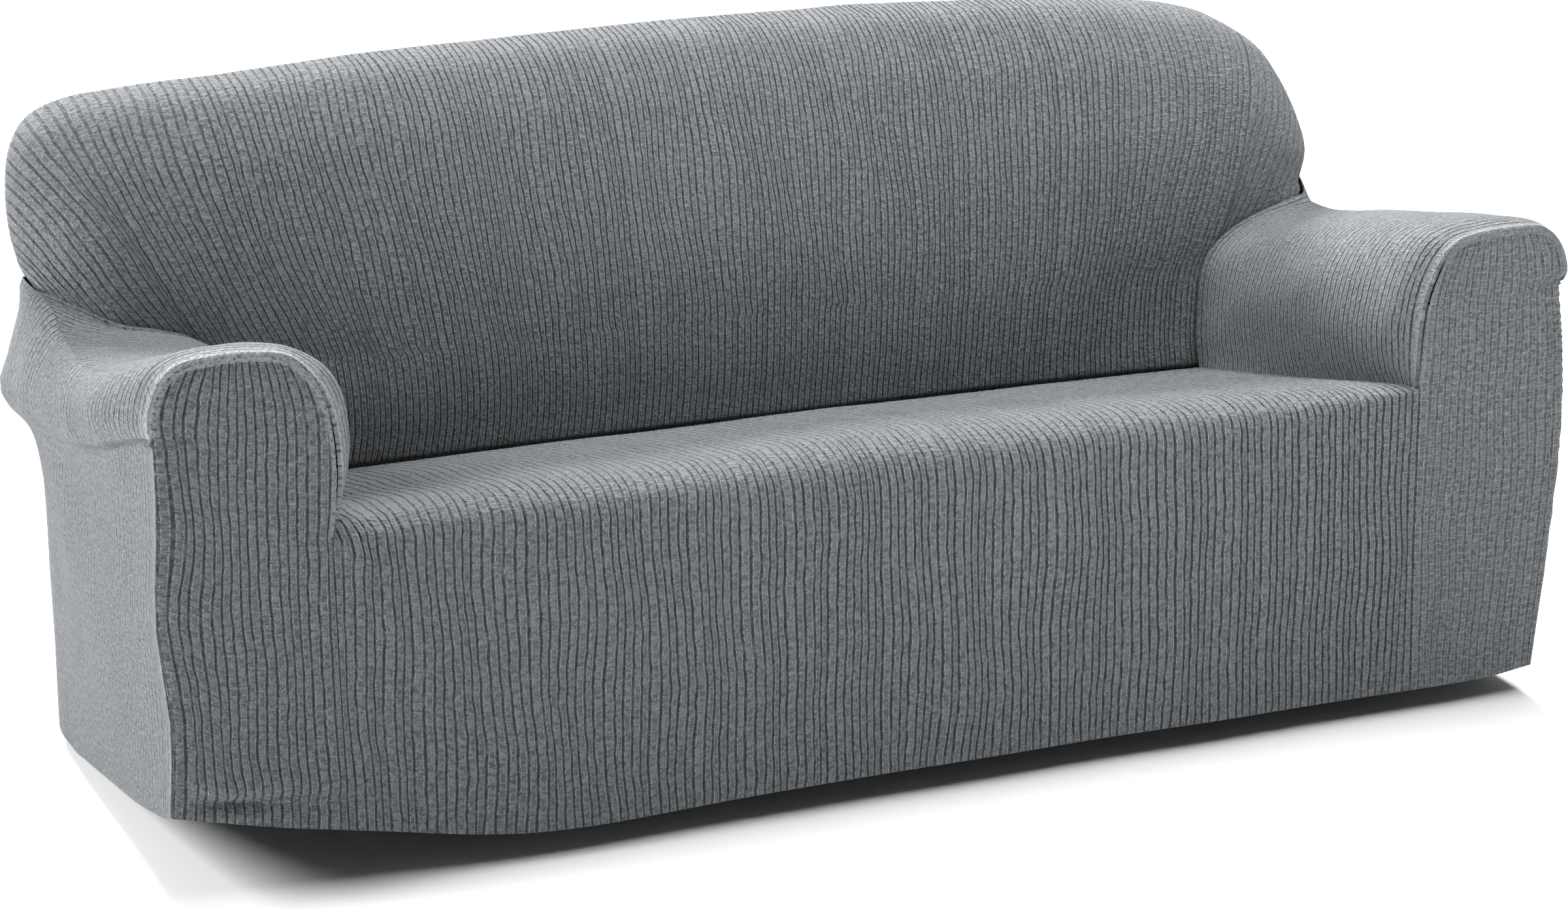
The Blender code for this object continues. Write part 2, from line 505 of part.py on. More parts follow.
def main():
    for old in list(bpy.data.objects):
        bpy.data.objects.remove(old)
    bpy.context.scene.unit_settings.scale_length = 1.0
    collection = bpy.data.collections.new("sofa slipcover")
    bpy.context.scene.collection.children.link(collection)
    grey = (0.145, 0.158, 0.162)
    all_rows = np.concatenate([INNER_ROWS[:-1], WING_ROWS])
    cloth("front_and_seat", front_and_seat(8, 30, 13, 9, SEAT_ROWS), grey, collection)
    cloth("arm_left", arm(ARM_LEFT, -1, SEAT_ROWS, all_rows, 15, 4), grey, collection)
    cloth("arm_right", arm(ARM_RIGHT, 1, SEAT_ROWS, all_rows, 15, 4), grey, collection)
    cloth("inner_back", inner_back(INNER_ROWS, WING_ROWS, 30, 14, 4), grey, collection)
    cloth("outer_back", outer_back(24, 11, 7, (14, 46)), grey, collection)


main()
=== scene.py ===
"""Looks of a fitted stretch cover for a three-seat sofa: five cut and sewn pieces of ribbed crinkle cloth.
Metres, X along the seat, front towards -Y, the lowest point of the hem at z = 0. The tables are those of the
CAD, except that the rear end of the left roll is a little smoother here."""

import bpy
import numpy as np
from mathutils import Matrix, Vector
from mathutils.kdtree import KDTree


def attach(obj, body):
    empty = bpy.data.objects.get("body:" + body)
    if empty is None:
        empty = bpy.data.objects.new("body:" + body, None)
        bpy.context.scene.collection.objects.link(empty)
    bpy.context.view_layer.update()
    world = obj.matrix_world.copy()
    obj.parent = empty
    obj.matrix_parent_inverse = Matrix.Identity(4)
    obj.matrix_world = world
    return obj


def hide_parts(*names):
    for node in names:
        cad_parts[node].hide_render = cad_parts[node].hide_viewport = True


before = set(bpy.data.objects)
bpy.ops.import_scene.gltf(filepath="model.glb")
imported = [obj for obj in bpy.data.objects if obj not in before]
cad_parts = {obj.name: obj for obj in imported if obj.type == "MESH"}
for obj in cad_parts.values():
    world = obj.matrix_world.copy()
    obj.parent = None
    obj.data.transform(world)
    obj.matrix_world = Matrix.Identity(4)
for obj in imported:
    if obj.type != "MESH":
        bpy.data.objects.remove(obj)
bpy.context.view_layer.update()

# ---------------------------------------------------------------- named sizes
THICK = 0.0025  # cloth with its ribs
GAP = 0.0004  # between neighbouring pieces at a seam
ORIGIN = np.array([-0.0044, 0.4170, 0.0200])  # the tables count x and y from the seat's front, z from the feet
DEPTH = 0.84
ARM_START = THICK + 0.0006  # an arm's cloth starts behind the cloth of its front
REAR_STOP = DEPTH - THICK - 0.0005  # and ends, like the back's, before the outer back
FRONT_OVER = 0.001  # how far an arm's front stands out past its cloth
REAR_OVER = 0.001  # the same for the outer back
CREASE_Y = 0.61  # where the back cloth meets the seat and the arms
CREASE_SINK = 0.0042  # how deep the cloths sink where the seat, the arms and the back meet
CREASE_WIDE = 0.008
WING_TURN = 0.06  # how far the crease turns back at the end of a wing
SEAM_LIP = 0.003  # folded seam allowance round the front of an arm
BACK_ROUND = 0.11  # radius of the edge of the back
EDGE_TURN = 1.25  # how far the back cloth turns round that edge, in radians
REAR_INSET = 0.026
FAN = (0.165, 0.110)  # how far outwards a rib of the back leans beside the left and the right wing
FAN_REACH = 0.24
EDGE_PULL = 3.0  # how soon the ribs of an arm's front forget the shape of its edge

# rows of the arm tables
SHOULDER = 4  # level with the lower edge of the wing
ROLL_IN, ROLL_OUT = 5.5, 9  # between them an arm's front has its top edge
NECK = 10  # where the wing ends and the rear of the arm begins
SEAM_END, SEAM_GONE = 13.6, 13.9  # where the seam round an arm's front ends, under the roll
LOW_ROW = 15  # outside, level with the lower part of an arm's front
HEM_ROW = 18

FINE = 90  # points along an edge before they are spread evenly
END_POINTS = 60  # points along each end of the back's outline

# rows: around the arm from the seat, over the roll, down the outer side to the hem
# columns: x, z in millimetres at each station of ARM_Y
ARM_Y = np.array([0.0, 0.05, 0.30, 0.53, 0.61, 0.74, 0.84])
ARM_LEFT = np.array([
    # y 0.00      0.05      0.30      0.53      0.61      0.74      0.84
    [771, 456, 770, 466, 766, 425, 765, 388, 765, 375, 765, 355, 765, 340],
    [763, 494, 750, 492, 750, 460, 755, 430, 757, 420, 757, 400, 757, 385],
    [758, 539, 733, 540, 740, 505, 753, 475, 757, 465, 757, 445, 757, 430],
    [760, 590, 733, 592, 742, 550, 755, 517, 760, 505, 760, 485, 760, 470],
    [768, 628, 743, 635, 756, 590, 765, 553, 767, 540, 767, 520, 767, 505],
    [782, 658, 765, 668, 780, 610, 782, 578, 782, 566, 782, 546, 782, 531],
    [812, 688, 806, 691, 816, 623, 810, 596, 808, 584, 808, 570, 808, 558],
    [862, 697, 862, 699, 867, 630, 855, 608, 850, 597, 850, 588, 850, 583],
    [905, 696, 912, 699, 920, 632, 905, 614, 898, 609, 895, 610, 890, 610],
    [938, 691, 948, 692, 962, 633, 950, 622, 948, 634, 948, 640, 930, 638],
    [958, 677, 972, 678, 992, 628, 986, 626, 985, 645, 995, 660, 963, 656],
    [971, 655, 987, 653, 1012, 606, 1010, 604, 1008, 618, 1006, 620, 974, 612],
    [978, 630, 992, 623, 1022, 572, 1029, 562, 1031, 560, 1026, 558, 992, 556],
    [977, 612, 988, 601, 1012, 540, 1030, 520, 1038, 512, 1038, 512, 1002, 510],
    [974, 598, 978, 588, 992, 522, 1002, 480, 1004, 466, 999, 450, 966, 446],
    [977, 499, 979, 490, 992, 440, 998, 395, 998, 380, 992, 360, 958, 360],
    [986, 380, 987, 375, 998, 330, 999, 293, 998, 280, 992, 260, 958, 260],
    [977, 250, 981, 245, 996, 205, 999, 175, 998, 165, 994, 140, 960, 140],
    [985, 138, 987, 122, 992, 70, 996, 36, 998, 24, 998, 20, 960, 30],
]).reshape(19, 7, 2) / 1000
ARM_RIGHT = np.array([
    [757, 474, 758, 471, 762, 425, 764, 388, 765, 375, 765, 355, 765, 340],
    [757, 505, 747, 500, 752, 462, 757, 431, 759, 420, 759, 400, 759, 385],
    [760, 548, 742, 548, 744, 510, 756, 477, 760, 465, 760, 445, 760, 430],
    [766, 590, 748, 592, 748, 557, 759, 520, 763, 507, 763, 487, 763, 472],
    [780, 628, 764, 632, 762, 598, 770, 555, 772, 542, 772, 522, 772, 507],
    [800, 660, 788, 665, 785, 630, 791, 580, 792, 568, 792, 550, 792, 534],
    [826, 676, 820, 680, 820, 648, 820, 598, 820, 586, 820, 574, 820, 562],
    [873, 682, 872, 686, 868, 657, 864, 613, 862, 603, 862, 596, 862, 590],
    [918, 683, 922, 687, 920, 656, 908, 619, 906, 615, 904, 616, 896, 614],
    [948, 680, 956, 682, 960, 649, 945, 617, 940, 620, 943, 634, 928, 634],
    [969, 666, 981, 669, 990, 635, 974, 602, 957, 609, 974, 666, 950, 660],
    [983, 645, 996, 645, 1010, 610, 998, 585, 984, 582, 990, 612, 964, 608],
    [990, 620, 1000, 618, 1018, 574, 1019, 555, 1020, 554, 1019, 556, 988, 554],
    [986, 608, 994, 600, 1010, 542, 1025, 519, 1030, 512, 1032, 510, 998, 510],
    [977, 594, 981, 584, 992, 524, 1001, 481, 1004, 466, 1002, 450, 968, 446],
    [987, 510, 988, 500, 994, 440, 997, 395, 998, 380, 994, 360, 960, 360],
    [992, 400, 992, 390, 996, 330, 997, 293, 998, 280, 994, 260, 960, 260],
    [982, 250, 984, 245, 993, 205, 995, 175, 996, 165, 994, 140, 960, 140],
    [958, 46, 966, 44, 980, 30, 986, 26, 988, 24, 988, 20, 955, 30],
]).reshape(19, 7, 2) / 1000
SIDES = ((-1, ARM_LEFT), (1, ARM_RIGHT))

# x, z in millimetres of the widest outline of the back, from the left neck over the top to the right neck
BACK_OUTLINE = np.array([
    [-1004, 684], [-1009, 722], [-1009, 775], [-1000, 832], [-973, 876], [-923, 899], [-855, 908],
    [-712, 915], [-382, 935], [0, 946], [314, 947], [648, 933], [810, 911], [874, 886],
    [923, 850], [957, 797], [979, 738], [986, 696], [980, 668],
]) / 1000
LEFT_CORNER, RIGHT_CORNER = 4, 14  # points of the outline where its top begins and ends

# z, y of the front of the back
BACK_FACE = np.array([
    [0.37, 0.606], [0.45, 0.592], [0.55, 0.590], [0.65, 0.600], [0.75, 0.620], [0.85, 0.648], [0.95, 0.672],
])

# y, z of the seat in its middle, then y of the same point beside an arm
SEAT = np.array([
    [-0.010, 0.440, 0.000], [-0.002, 0.462, 0.007], [0.018, 0.476, 0.020], [0.050, 0.483, 0.045],
    [0.100, 0.482, 0.100], [0.200, 0.466, 0.200], [0.330, 0.443, 0.330], [0.450, 0.419, 0.450],
    [0.550, 0.395, 0.550], [CREASE_Y - GAP, 0.378, CREASE_Y - GAP],
])

# x, z of the front hem, which rides up at the left corner
HEM = np.array([
    [-0.990, 0.138], [-0.870, 0.108], [-0.741, 0.080], [-0.579, 0.048], [-0.446, 0.039],
    [-0.193, 0.043], [0.244, 0.042], [0.715, 0.038], [0.880, 0.038], [0.960, 0.046],
])

# x, z along each soft fold of the front, its half width and its push towards the front
FOLDS = (
    (((-0.985, 0.182), (-0.930, 0.166), (-0.865, 0.160), (-0.800, 0.152), (-0.720, 0.148)), 0.014, 0.017),
    (((-0.985, 0.156), (-0.930, 0.145), (-0.865, 0.139), (-0.800, 0.130), (-0.720, 0.125)), 0.008, -0.016),
    (((-0.768, 0.450), (-0.745, 0.436), (-0.713, 0.422), (-0.675, 0.402)), 0.008, 0.011),
    (((-0.760, 0.468), (-0.735, 0.456), (-0.700, 0.444), (-0.660, 0.430)), 0.008, -0.009),
)

# soft unevenness
PUFF = 0.002  # of the arms, the seat and the back
BELLY = 0.0016  # of the front
REAR_BELLY = 0.006  # how far the outer back bulges

# the seam and the tuck on the front of an arm, the puckers under a wing
SEAM_HIGH = 0.0026
SEAM_DITCH = 0.0012  # beside it
RIGHT_SEAM = 0.4  # the seam on the right is plainer
SEAM_TURN = 0.0022  # how far the arm's cloth turns out into the seam
TUCK_Z = 0.602
TUCK_DEEP = 0.0075
TUCK_FOLD = 0.0012
GATHER = 0.0034

# ribs
RIB = 0.0118  # from groove to groove
BACK_RIB = 0.0094  # the same along the foot of the back, where the ribs fan out
WING_RIB = 0.0175  # the same along the lower edge of a wing, which the ribs cross at a slant
RIB_COLUMNS = np.array([0.0, 0.16, 0.50, 0.84])  # where a rib has mesh columns, as a share of its width
THREAD_AT = 0.34  # how far from the middle of a rib its threads run, as a share too
GROOVE = 0.0016  # depth between ribs
DEEPEST = 0.0020
EDGE_THREAD = 0.0006  # the raised thread along each side of a rib
UNEVEN = 0.26  # how much the ribs differ in width
WANDER = 0.0030  # how far a group of ribs strays sideways
WOBBLE = 0.0007  # how far one rib does
FRONT_SPAN, LOBE_SPAN, ARM_REAR_SPAN, REAR_SPAN = 1.53, 0.215, 0.19, 2.0  # cloth that the ribs are counted over

# the mesh
WELD = 0.00001  # points closer than this are one
SHARP = 1.4  # edges bent by more than this are sharp, in radians
THIN_ALONG = 3  # the layer inside has each third row


# ---------------------------------------------------------------- curves and patches
def unit(value):
    """The value, kept between 0 and 1."""
    return np.clip(value, 0, 1)


def bell(away, half):
    """1 at nothing and next to 0 from twice the half width."""
    return np.exp(-((away / half) ** 2))


def crowned(u):
    """0 at both sides of a cloth and close to 1 over most of it."""
    return 1 - np.abs(2 * u - 1) ** 3


def weights(knots, at):
    """Weights of a smooth curve through the knots, one row for each place asked for."""
    knots = np.asarray(knots, float)
    at = np.clip(np.atleast_1d(np.asarray(at, float)), knots[0], knots[-1])
    n = len(knots)
    slope = np.zeros((n, n))
    for i in range(n):
        a, b = max(i - 1, 0), min(i + 1, n - 1)
        slope[i, b] += 1 / (knots[b] - knots[a])
        slope[i, a] -= 1 / (knots[b] - knots[a])
    k = np.clip(np.searchsorted(knots, at, side="right") - 1, 0, n - 2)
    h = knots[k + 1] - knots[k]
    t = (at - knots[k]) / h
    rows = np.arange(len(at))
    out = np.zeros((len(at), n))
    out[rows, k] += 2 * t**3 - 3 * t**2 + 1
    out[rows, k + 1] += -2 * t**3 + 3 * t**2
    out += (h * (t**3 - 2 * t**2 + t))[:, None] * slope[k]
    out += (h * (t**3 - t**2))[:, None] * slope[k + 1]
    return out


def along(table, at):
    """A curve by row number through a table."""
    return weights(np.arange(len(table)), at) @ np.asarray(table, float)


def read(table, at):
    """The second column of a table as a smooth function of the first."""
    at = np.asarray(at, float)
    return (weights(table[:, 0], at.ravel()) @ table[:, 1]).reshape(at.shape)


def steps(*stretches):
    """Rows through stretches that follow each other: from, to and how many."""
    parts = [np.linspace(*stretch) for stretch in stretches]
    return np.concatenate([parts[0]] + [part[1:] for part in parts[1:]])


def arm_xz(table, row, y):
    """x, z on an arm, by row of its table and depth."""
    row, y = np.broadcast_arrays(np.asarray(row, float), np.asarray(y, float))
    by_row = weights(np.arange(len(table)), row.ravel())
    by_y = weights(ARM_Y, y.ravel())
    found = np.einsum("pi,pj,ijk->pk", by_row, by_y, table)
    return found.reshape(row.shape + (2,))


def over_arm(table, side, row, y):
    """The same on the arm's own side, a gap above it."""
    line = arm_xz(table, row, y) * [side, 1]
    line[:, 1] += GAP
    return line


def crease_y(row):
    """How far back the arm cloth reaches: it turns back round the end of the wing."""
    t = unit((np.asarray(row, float) - (NECK - 2.5)) / 2.5)
    return CREASE_Y + WING_TURN * (1 - np.sqrt(unit(1 - t**2)))


def coons(bottom, top, left, right, u=None):
    """A patch between four edges that share their corners, with its columns at u."""
    u = (np.linspace(0, 1, len(bottom)) if u is None else u)[:, None, None]
    v = np.linspace(0, 1, len(left))[None, :, None]
    rail = (1 - v) * bottom[:, None] + v * top[:, None]
    rung = (1 - u) * left[None] + u * right[None]
    corners = (1 - u) * ((1 - v) * bottom[0] + v * top[0]) + u * ((1 - v) * bottom[-1] + v * top[-1])
    return rail + rung - corners


def run_of(curve):
    """Length along a curve at each of its points."""
    return np.concatenate([[0], np.cumsum(np.linalg.norm(np.diff(curve, axis=0), axis=1))])


def evened(curve, count):
    """The same curve with its points spread evenly along it."""
    run = run_of(curve)
    at = np.linspace(0, run[-1], count)
    return np.stack([np.interp(at, run, curve[:, k]) for k in range(curve.shape[1])], axis=1)


def outset(curve, by, turn):
    """An x, z curve pushed sideways, by a length at each point."""
    tangent = np.gradient(curve, axis=0)
    tangent /= np.linalg.norm(tangent, axis=1)[:, None]
    normal = np.stack([tangent[:, 1], -tangent[:, 0]], axis=1) * turn
    return curve + normal * np.asarray(by)[:, None]


def path_distance(x, z, path):
    """Distance to a broken line and how far along it, from 0 to 1."""
    best = np.full(x.shape, 9.0)
    where = np.zeros(x.shape)
    points = np.array(path)
    for i in range(len(points) - 1):
        a, b = points[i], points[i + 1]
        d = b - a
        t = unit(((x - a[0]) * d[0] + (z - a[1]) * d[1]) / (d @ d))
        away = np.hypot(x - a[0] - t * d[0], z - a[1] - t * d[1])
        near = away < best
        best = np.where(near, away, best)
        where = np.where(near, (i + t) / (len(points) - 1), where)
    return best, where


def folded(points):
    """The soft folds and pulls of the front face, as a push towards -Y."""
    x, z = points[..., 0], points[..., 2]
    push = np.zeros(x.shape)
    for path, half, height in FOLDS:
        away, where = path_distance(x, z, path)
        push += height * bell(away, half) * unit(1.15 * (1 - where))
    # nothing on the seat, at the outer edge and at the rim of an arm's front
    face = unit((0.03 - points[..., 1]) / 0.03)
    face *= unit((0.968 - np.abs(x)) / 0.05)
    lobe = unit((z - 0.40) / 0.05) * unit((np.abs(x) - 0.735) / 0.02)
    rim = unit((0.685 - z) / 0.05) * unit((np.abs(x) - 0.785) / 0.04)
    face *= 1 - lobe * (1 - rim)
    push += BELLY * np.sin(17.0 * x + 5.0 * z) * np.sin(9.0 * z + 3.1 * x)
    out = points.copy()
    out[..., 1] -= push * face
    return out


# ---------------------------------------------------------------- the front and the seat
def arm_edge(table, side, rows):
    """The outline of an arm's front as x, z, with its seam allowance."""
    curve = arm_xz(table, rows, np.zeros(len(rows)))
    along_seam = unit(np.minimum(rows / 1.5, (16.5 - rows) / 2.0))
    curve = outset(curve, FRONT_OVER * unit(rows) + (SEAM_LIP - FRONT_OVER) * along_seam, 1.0)
    curve[:, 0] *= side
    return curve


def arm_front(table, side, n_across, n_low, n_up):
    """One arm's front as a flat patch from the hem to the top of the roll, and the slit's corner. Its edges
    follow the seam; between them the rows and columns stay calm."""
    outer_low = arm_edge(table, side, np.linspace(HEM_ROW, LOW_ROW, n_low))
    outer_up, inner_up, top = (
        evened(arm_edge(table, side, np.linspace(first, last, FINE)), count)
        for first, last, count in ((LOW_ROW, ROLL_OUT, n_up), (0, ROLL_IN, n_up), (ROLL_OUT, ROLL_IN, n_across))
    )
    outer_up[0] = outer_low[-1]
    top[0], top[-1] = outer_up[-1], inner_up[-1]
    corner = inner_up[0]
    foot_x = np.linspace(outer_low[0, 0], corner[0], n_across)
    foot = np.stack([foot_x, read(HEM, foot_x)], axis=1)
    outer_low[0] = foot[0]
    inner_low = np.stack([np.full(n_low, corner[0]), np.linspace(foot[-1, 1], corner[1], n_low)], axis=1)
    outer = np.concatenate([outer_low, outer_up[1:]])
    inner = np.concatenate([inner_low, inner_up[1:]])
    rise = 0.5 * (run_of(outer) / run_of(outer)[-1] + run_of(inner) / run_of(inner)[-1])[:, None]
    calm = [edge[0] + (edge[-1] - edge[0]) * rise for edge in (outer, inner)]
    flat = coons(foot, top, *calm)
    reach = (1 - np.linspace(0, 1, n_across))[:, None, None] ** EDGE_PULL
    flat = flat + (outer - calm[0])[None] * reach + (inner - calm[1])[None] * reach[::-1]
    patch = np.stack([flat[..., 0], np.zeros(flat.shape[:2]), flat[..., 1]], axis=2)
    return folded(patch), corner


def front_and_seat(n_lobe, n_mid, n_low, n_up, rows):
    """Both arm fronts, the apron and the seat: one cloth with a slit at each seat corner."""
    mid = along(SEAT, rows)
    y = mid[:, 2].copy()
    y[0] = 0.0
    lobes, edges = [], []
    for side, table in SIDES:
        lobe, corner = arm_front(table, side, n_lobe, n_low, n_up)
        lobes.append(lobe if side < 0 else lobe[::-1])
        xz = arm_xz(table, np.zeros(len(rows)), y)
        edge = np.stack([side * (xz[:, 0] - GAP * unit(y / 0.01)), y, xz[:, 1]], axis=1)
        edge[0] = [corner[0], 0.0, corner[1]]
        edges.append(edge)
    u = np.linspace(0, 1, n_mid)
    crown = crowned(u)[:, None]
    blend = u[:, None, None]
    seat = (1 - blend) * edges[0][None] + blend * edges[1][None]
    for k in (1, 2):
        seat[..., k] = seat[..., k] * (1 - crown) + mid[None, :, k - 1] * crown
    sag = np.sin(np.pi * unit(rows / rows[-1]))[None]
    seat[..., 2] += PUFF * sag * np.sin(9.0 * seat[..., 0] + 1.0) * crown
    x, y, z = (seat[:, 0, k, None] for k in range(3))
    t = np.linspace(0, 1, n_low)[None, :]
    foot_z = read(HEM, x)
    apron = np.empty((n_mid, n_low, 3))
    apron[..., 0] = x
    apron[..., 1] = y * np.sin(0.5 * np.pi * t) - 0.005 * crown * np.sin(np.pi * t)
    apron[..., 2] = foot_z + (z - foot_z) * t
    apron, seat = folded(apron), folded(seat)
    seat[:, 0] = apron[:, -1]
    return *lobes, apron, seat


# ---------------------------------------------------------------- the arms
def arm(table, side, t, inner_rows, outer_rows, w):
    """Inner face, roll and outer side of an arm: one cloth, longer behind the wing. Columns run along y."""
    reach = crease_y(inner_rows) - GAP
    ones_t, ones_w = np.ones((len(t), 1)), np.ones((len(w), 1))
    rear = reach[-1] + (REAR_STOP - reach[-1]) * w
    grids = (
        (inner_rows * ones_t, ARM_START + (reach[None] - ARM_START) * t[:, None]),
        (outer_rows * ones_t, ARM_START + (reach[-1] - ARM_START) * t[:, None] * np.ones(len(outer_rows))),
        (outer_rows * ones_w, rear[:, None] * np.ones(len(outer_rows))),
    )
    patches = []
    for row, y in grids:
        xz = arm_xz(table, row, y)
        lift = GAP * unit(1 - row / 0.3)
        puff = PUFF * np.sin(2.1 * row + 14 * y) * np.sin(np.pi * unit(y / DEPTH))
        # none beside the seat, the crease and the neck, and it fades in over a tenth of a metre
        puff *= unit(row / 2) * unit((crease_y(row) - y + 1.0 * (row > NECK)) / 0.1)
        puff *= unit(np.abs(row - NECK) / 1.5)
        patches.append(np.stack([side * (xz[..., 0] + puff), y, xz[..., 1] + lift], axis=2))
    return patches


# ---------------------------------------------------------------- the inner back
def back_edge(n_side, n_top):
    """The widest line of the back, from the left neck over the left end, the top and the right end."""
    left, top, right = (
        along(BACK_OUTLINE, np.linspace(first, last, count))
        for first, last, count in (
            (0, LEFT_CORNER, 80), (LEFT_CORNER, RIGHT_CORNER, 200), (RIGHT_CORNER, len(BACK_OUTLINE) - 1, 80),
        )
    )
    ends = []
    for (side, table), line in zip(SIDES, (left, right[::-1])):
        foot = over_arm(table, side, [NECK], crease_y([NECK]))
        ends.append(evened(np.concatenate([foot, line]), n_side))
    return np.concatenate([ends[0], evened(top, n_top)[1:], ends[1][::-1][1:]])


def rear_seam(loop):
    """The line behind the top where the two back cloths meet, as x, z."""
    seam = outset(loop, np.full(len(loop), REAR_INSET), 1.0)
    run = run_of(loop)
    for (side, table), near, end in zip(SIDES, (run, run[-1] - run), (0, -1)):
        foot = over_arm(table, side, [NECK], [DEPTH])[0]
        seam = seam + (foot - seam[end]) * unit(1 - near / 0.05)[:, None]
    return seam


def wing_rim(wing_rows, n_mid):
    """The foot of the back's face: along the left wing, between the arms, along the right wing."""
    rows = wing_rows[::-1]
    y = crease_y(rows)
    wings = [
        evened(np.concatenate([over_arm(table, side, rows, y), y[:, None]], axis=1), len(rows))
        for side, table in SIDES
    ]
    between = np.linspace(wings[0][-1], wings[1][-1], n_mid)
    return np.concatenate([wings[0], between[1:-1], wings[1][::-1]])


def fanned_ends(rim, outline, n_wing):
    """Where each rib meets the outline: straight above in the middle, further out beside the wings."""
    run = run_of(outline)
    fan = FAN[0] * np.exp(-np.abs(rim[:, 0] - rim[n_wing - 1, 0]) / FAN_REACH)
    fan = fan - FAN[1] * np.exp(-np.abs(rim[:, 0] - rim[-n_wing, 0]) / FAN_REACH)
    crest = slice(END_POINTS - 1, 1 - END_POINTS)
    ends = np.interp(rim[:, 0] - fan, outline[crest, 0], run[crest])
    ends[:n_wing] = np.linspace(0, 1, n_wing) * ends[n_wing - 1]
    ends[-n_wing:] = run[-1] - np.linspace(1, 0, n_wing) * (run[-1] - ends[-n_wing])
    return np.stack([np.interp(ends, run, outline[:, k]) for k in (0, 1)], axis=1)


def back_columns(knots, n_wing):
    """Mesh columns over both wings and the strip between the arms, which is the slice returned last."""
    spans = (knots[n_wing - 1], knots[-n_wing] - knots[n_wing - 1], knots[-1] - knots[-n_wing])
    places, ribs = [], []
    for n, span in enumerate(spans):
        at, rib = columns(grooves_over(span, 100 + n, BACK_RIB if n == 1 else WING_RIB))
        places.append(sum(spans[:n]) + at * span)
        ribs.append(rib + (ribs[-1][-1] if ribs else 0))
    at, rib = (np.concatenate([left, mid[1:], right[1:]]) for left, mid, right in (places, ribs))
    return at, rib, slice(len(places[0]) - 1, len(places[0]) + len(places[1]) - 1)


def back_face(rim, upper, outline, n_up):
    """The face of the back with its wings, from its foot up to its widest line."""
    v = np.linspace(0, 1, n_up)[None]
    bend = unit((0.80 - np.abs(rim[:, :1])) / 0.10)
    lean = v + bend * (np.sin(0.5 * np.pi * v) - v)
    x = rim[:, :1] + (upper[:, :1] - rim[:, :1]) * lean
    z = rim[:, 1:2] + (upper[:, 1:] - rim[:, 1:2]) * v
    far = path_distance(x, z, outline[::4])[0]
    far[:, -1] = 0
    turn = 1 - unit(far / BACK_ROUND)
    y = read(BACK_FACE, z) + BACK_ROUND * (1 - np.sqrt(unit(1 - turn**2)))
    column = np.hypot(upper[:, 0] - rim[:, 0], upper[:, 1] - rim[:, 1])[:, None]
    y += (rim[:, 2:] - y[:, :1]) * unit(1 - v * column / 0.34) ** 3
    y += PUFF * np.sin(7.0 * x + 2.0 * z) * np.sin(8.0 * z) * unit(far / 0.1)
    return np.stack([x, y, z], axis=2)


def between_arms(face, u, rows):
    """The strip from the seat up to the lower edge of the wings. The face above it is drawn to its depth."""
    sides = []
    for side, table in SIDES:
        xz = arm_xz(table, rows, np.full(len(rows), CREASE_Y))
        sides.append(np.stack([side * (xz[:, 0] - GAP), xz[:, 1]], axis=1))
    crown = crowned(u)
    foot = sides[0][0] + (sides[1][0] - sides[0][0]) * u[:, None]
    foot[:, 1] = foot[:, 1] * (1 - crown) + SEAT[-1, 1] * crown + GAP
    head = face[:, 0][:, [0, 2]]
    for side, end in zip(sides, (0, -1)):
        side[0], side[-1] = foot[end], head[end]
    flat = coons(foot, head, *sides, u)
    rise = np.linspace(0, 1, len(rows))[None]
    near = unit(np.minimum(u, 1 - u) / 0.2)
    pillow = (near**2 * (3 - 2 * near))[:, None] * (1 - (1 - rise) ** 3)
    y = CREASE_Y + (read(BACK_FACE, flat[..., 1]) - CREASE_Y) * pillow
    step = y[:, -1] - face[:, 0, 1]
    face[..., 1] += step[:, None] * (1 - np.linspace(0, 1, face.shape[1])[None]) ** 3
    low = np.stack([flat[..., 0], y, flat[..., 1]], axis=2)
    low[:, -1] = face[:, 0]
    return low


def over_edge(loop, n_wrap):
    """From the widest line of the back round its edge to the seam behind, over the rear of both arms."""
    seam = rear_seam(loop[:, [0, 2]])
    turn = np.linspace(0, EDGE_TURN, n_wrap)
    inset = (1 - np.cos(turn)) / (1 - np.cos(EDGE_TURN))
    back = np.sin(turn) / np.sin(EDGE_TURN)
    behind = np.stack([seam[:, 0], np.full(len(seam), REAR_STOP), seam[:, 1]], axis=1)
    wrap = loop[:, None] + (behind - loop)[:, None] * np.stack([inset, back, inset], axis=1)
    run = run_of(loop)
    reach = crease_y([NECK])[0]
    y = reach + (REAR_STOP - reach) * back
    for (side, table), near, end in zip(SIDES, (run, run[-1] - run), (0, -1)):
        foot = over_arm(table, side, np.full(n_wrap, NECK), y)
        foot = np.stack([foot[:, 0], y, foot[:, 1]], axis=1)
        wrap = wrap + (foot - wrap[end])[None] * unit(1 - near / 0.06)[:, None, None]
    wrap[:, 0] = loop
    return wrap


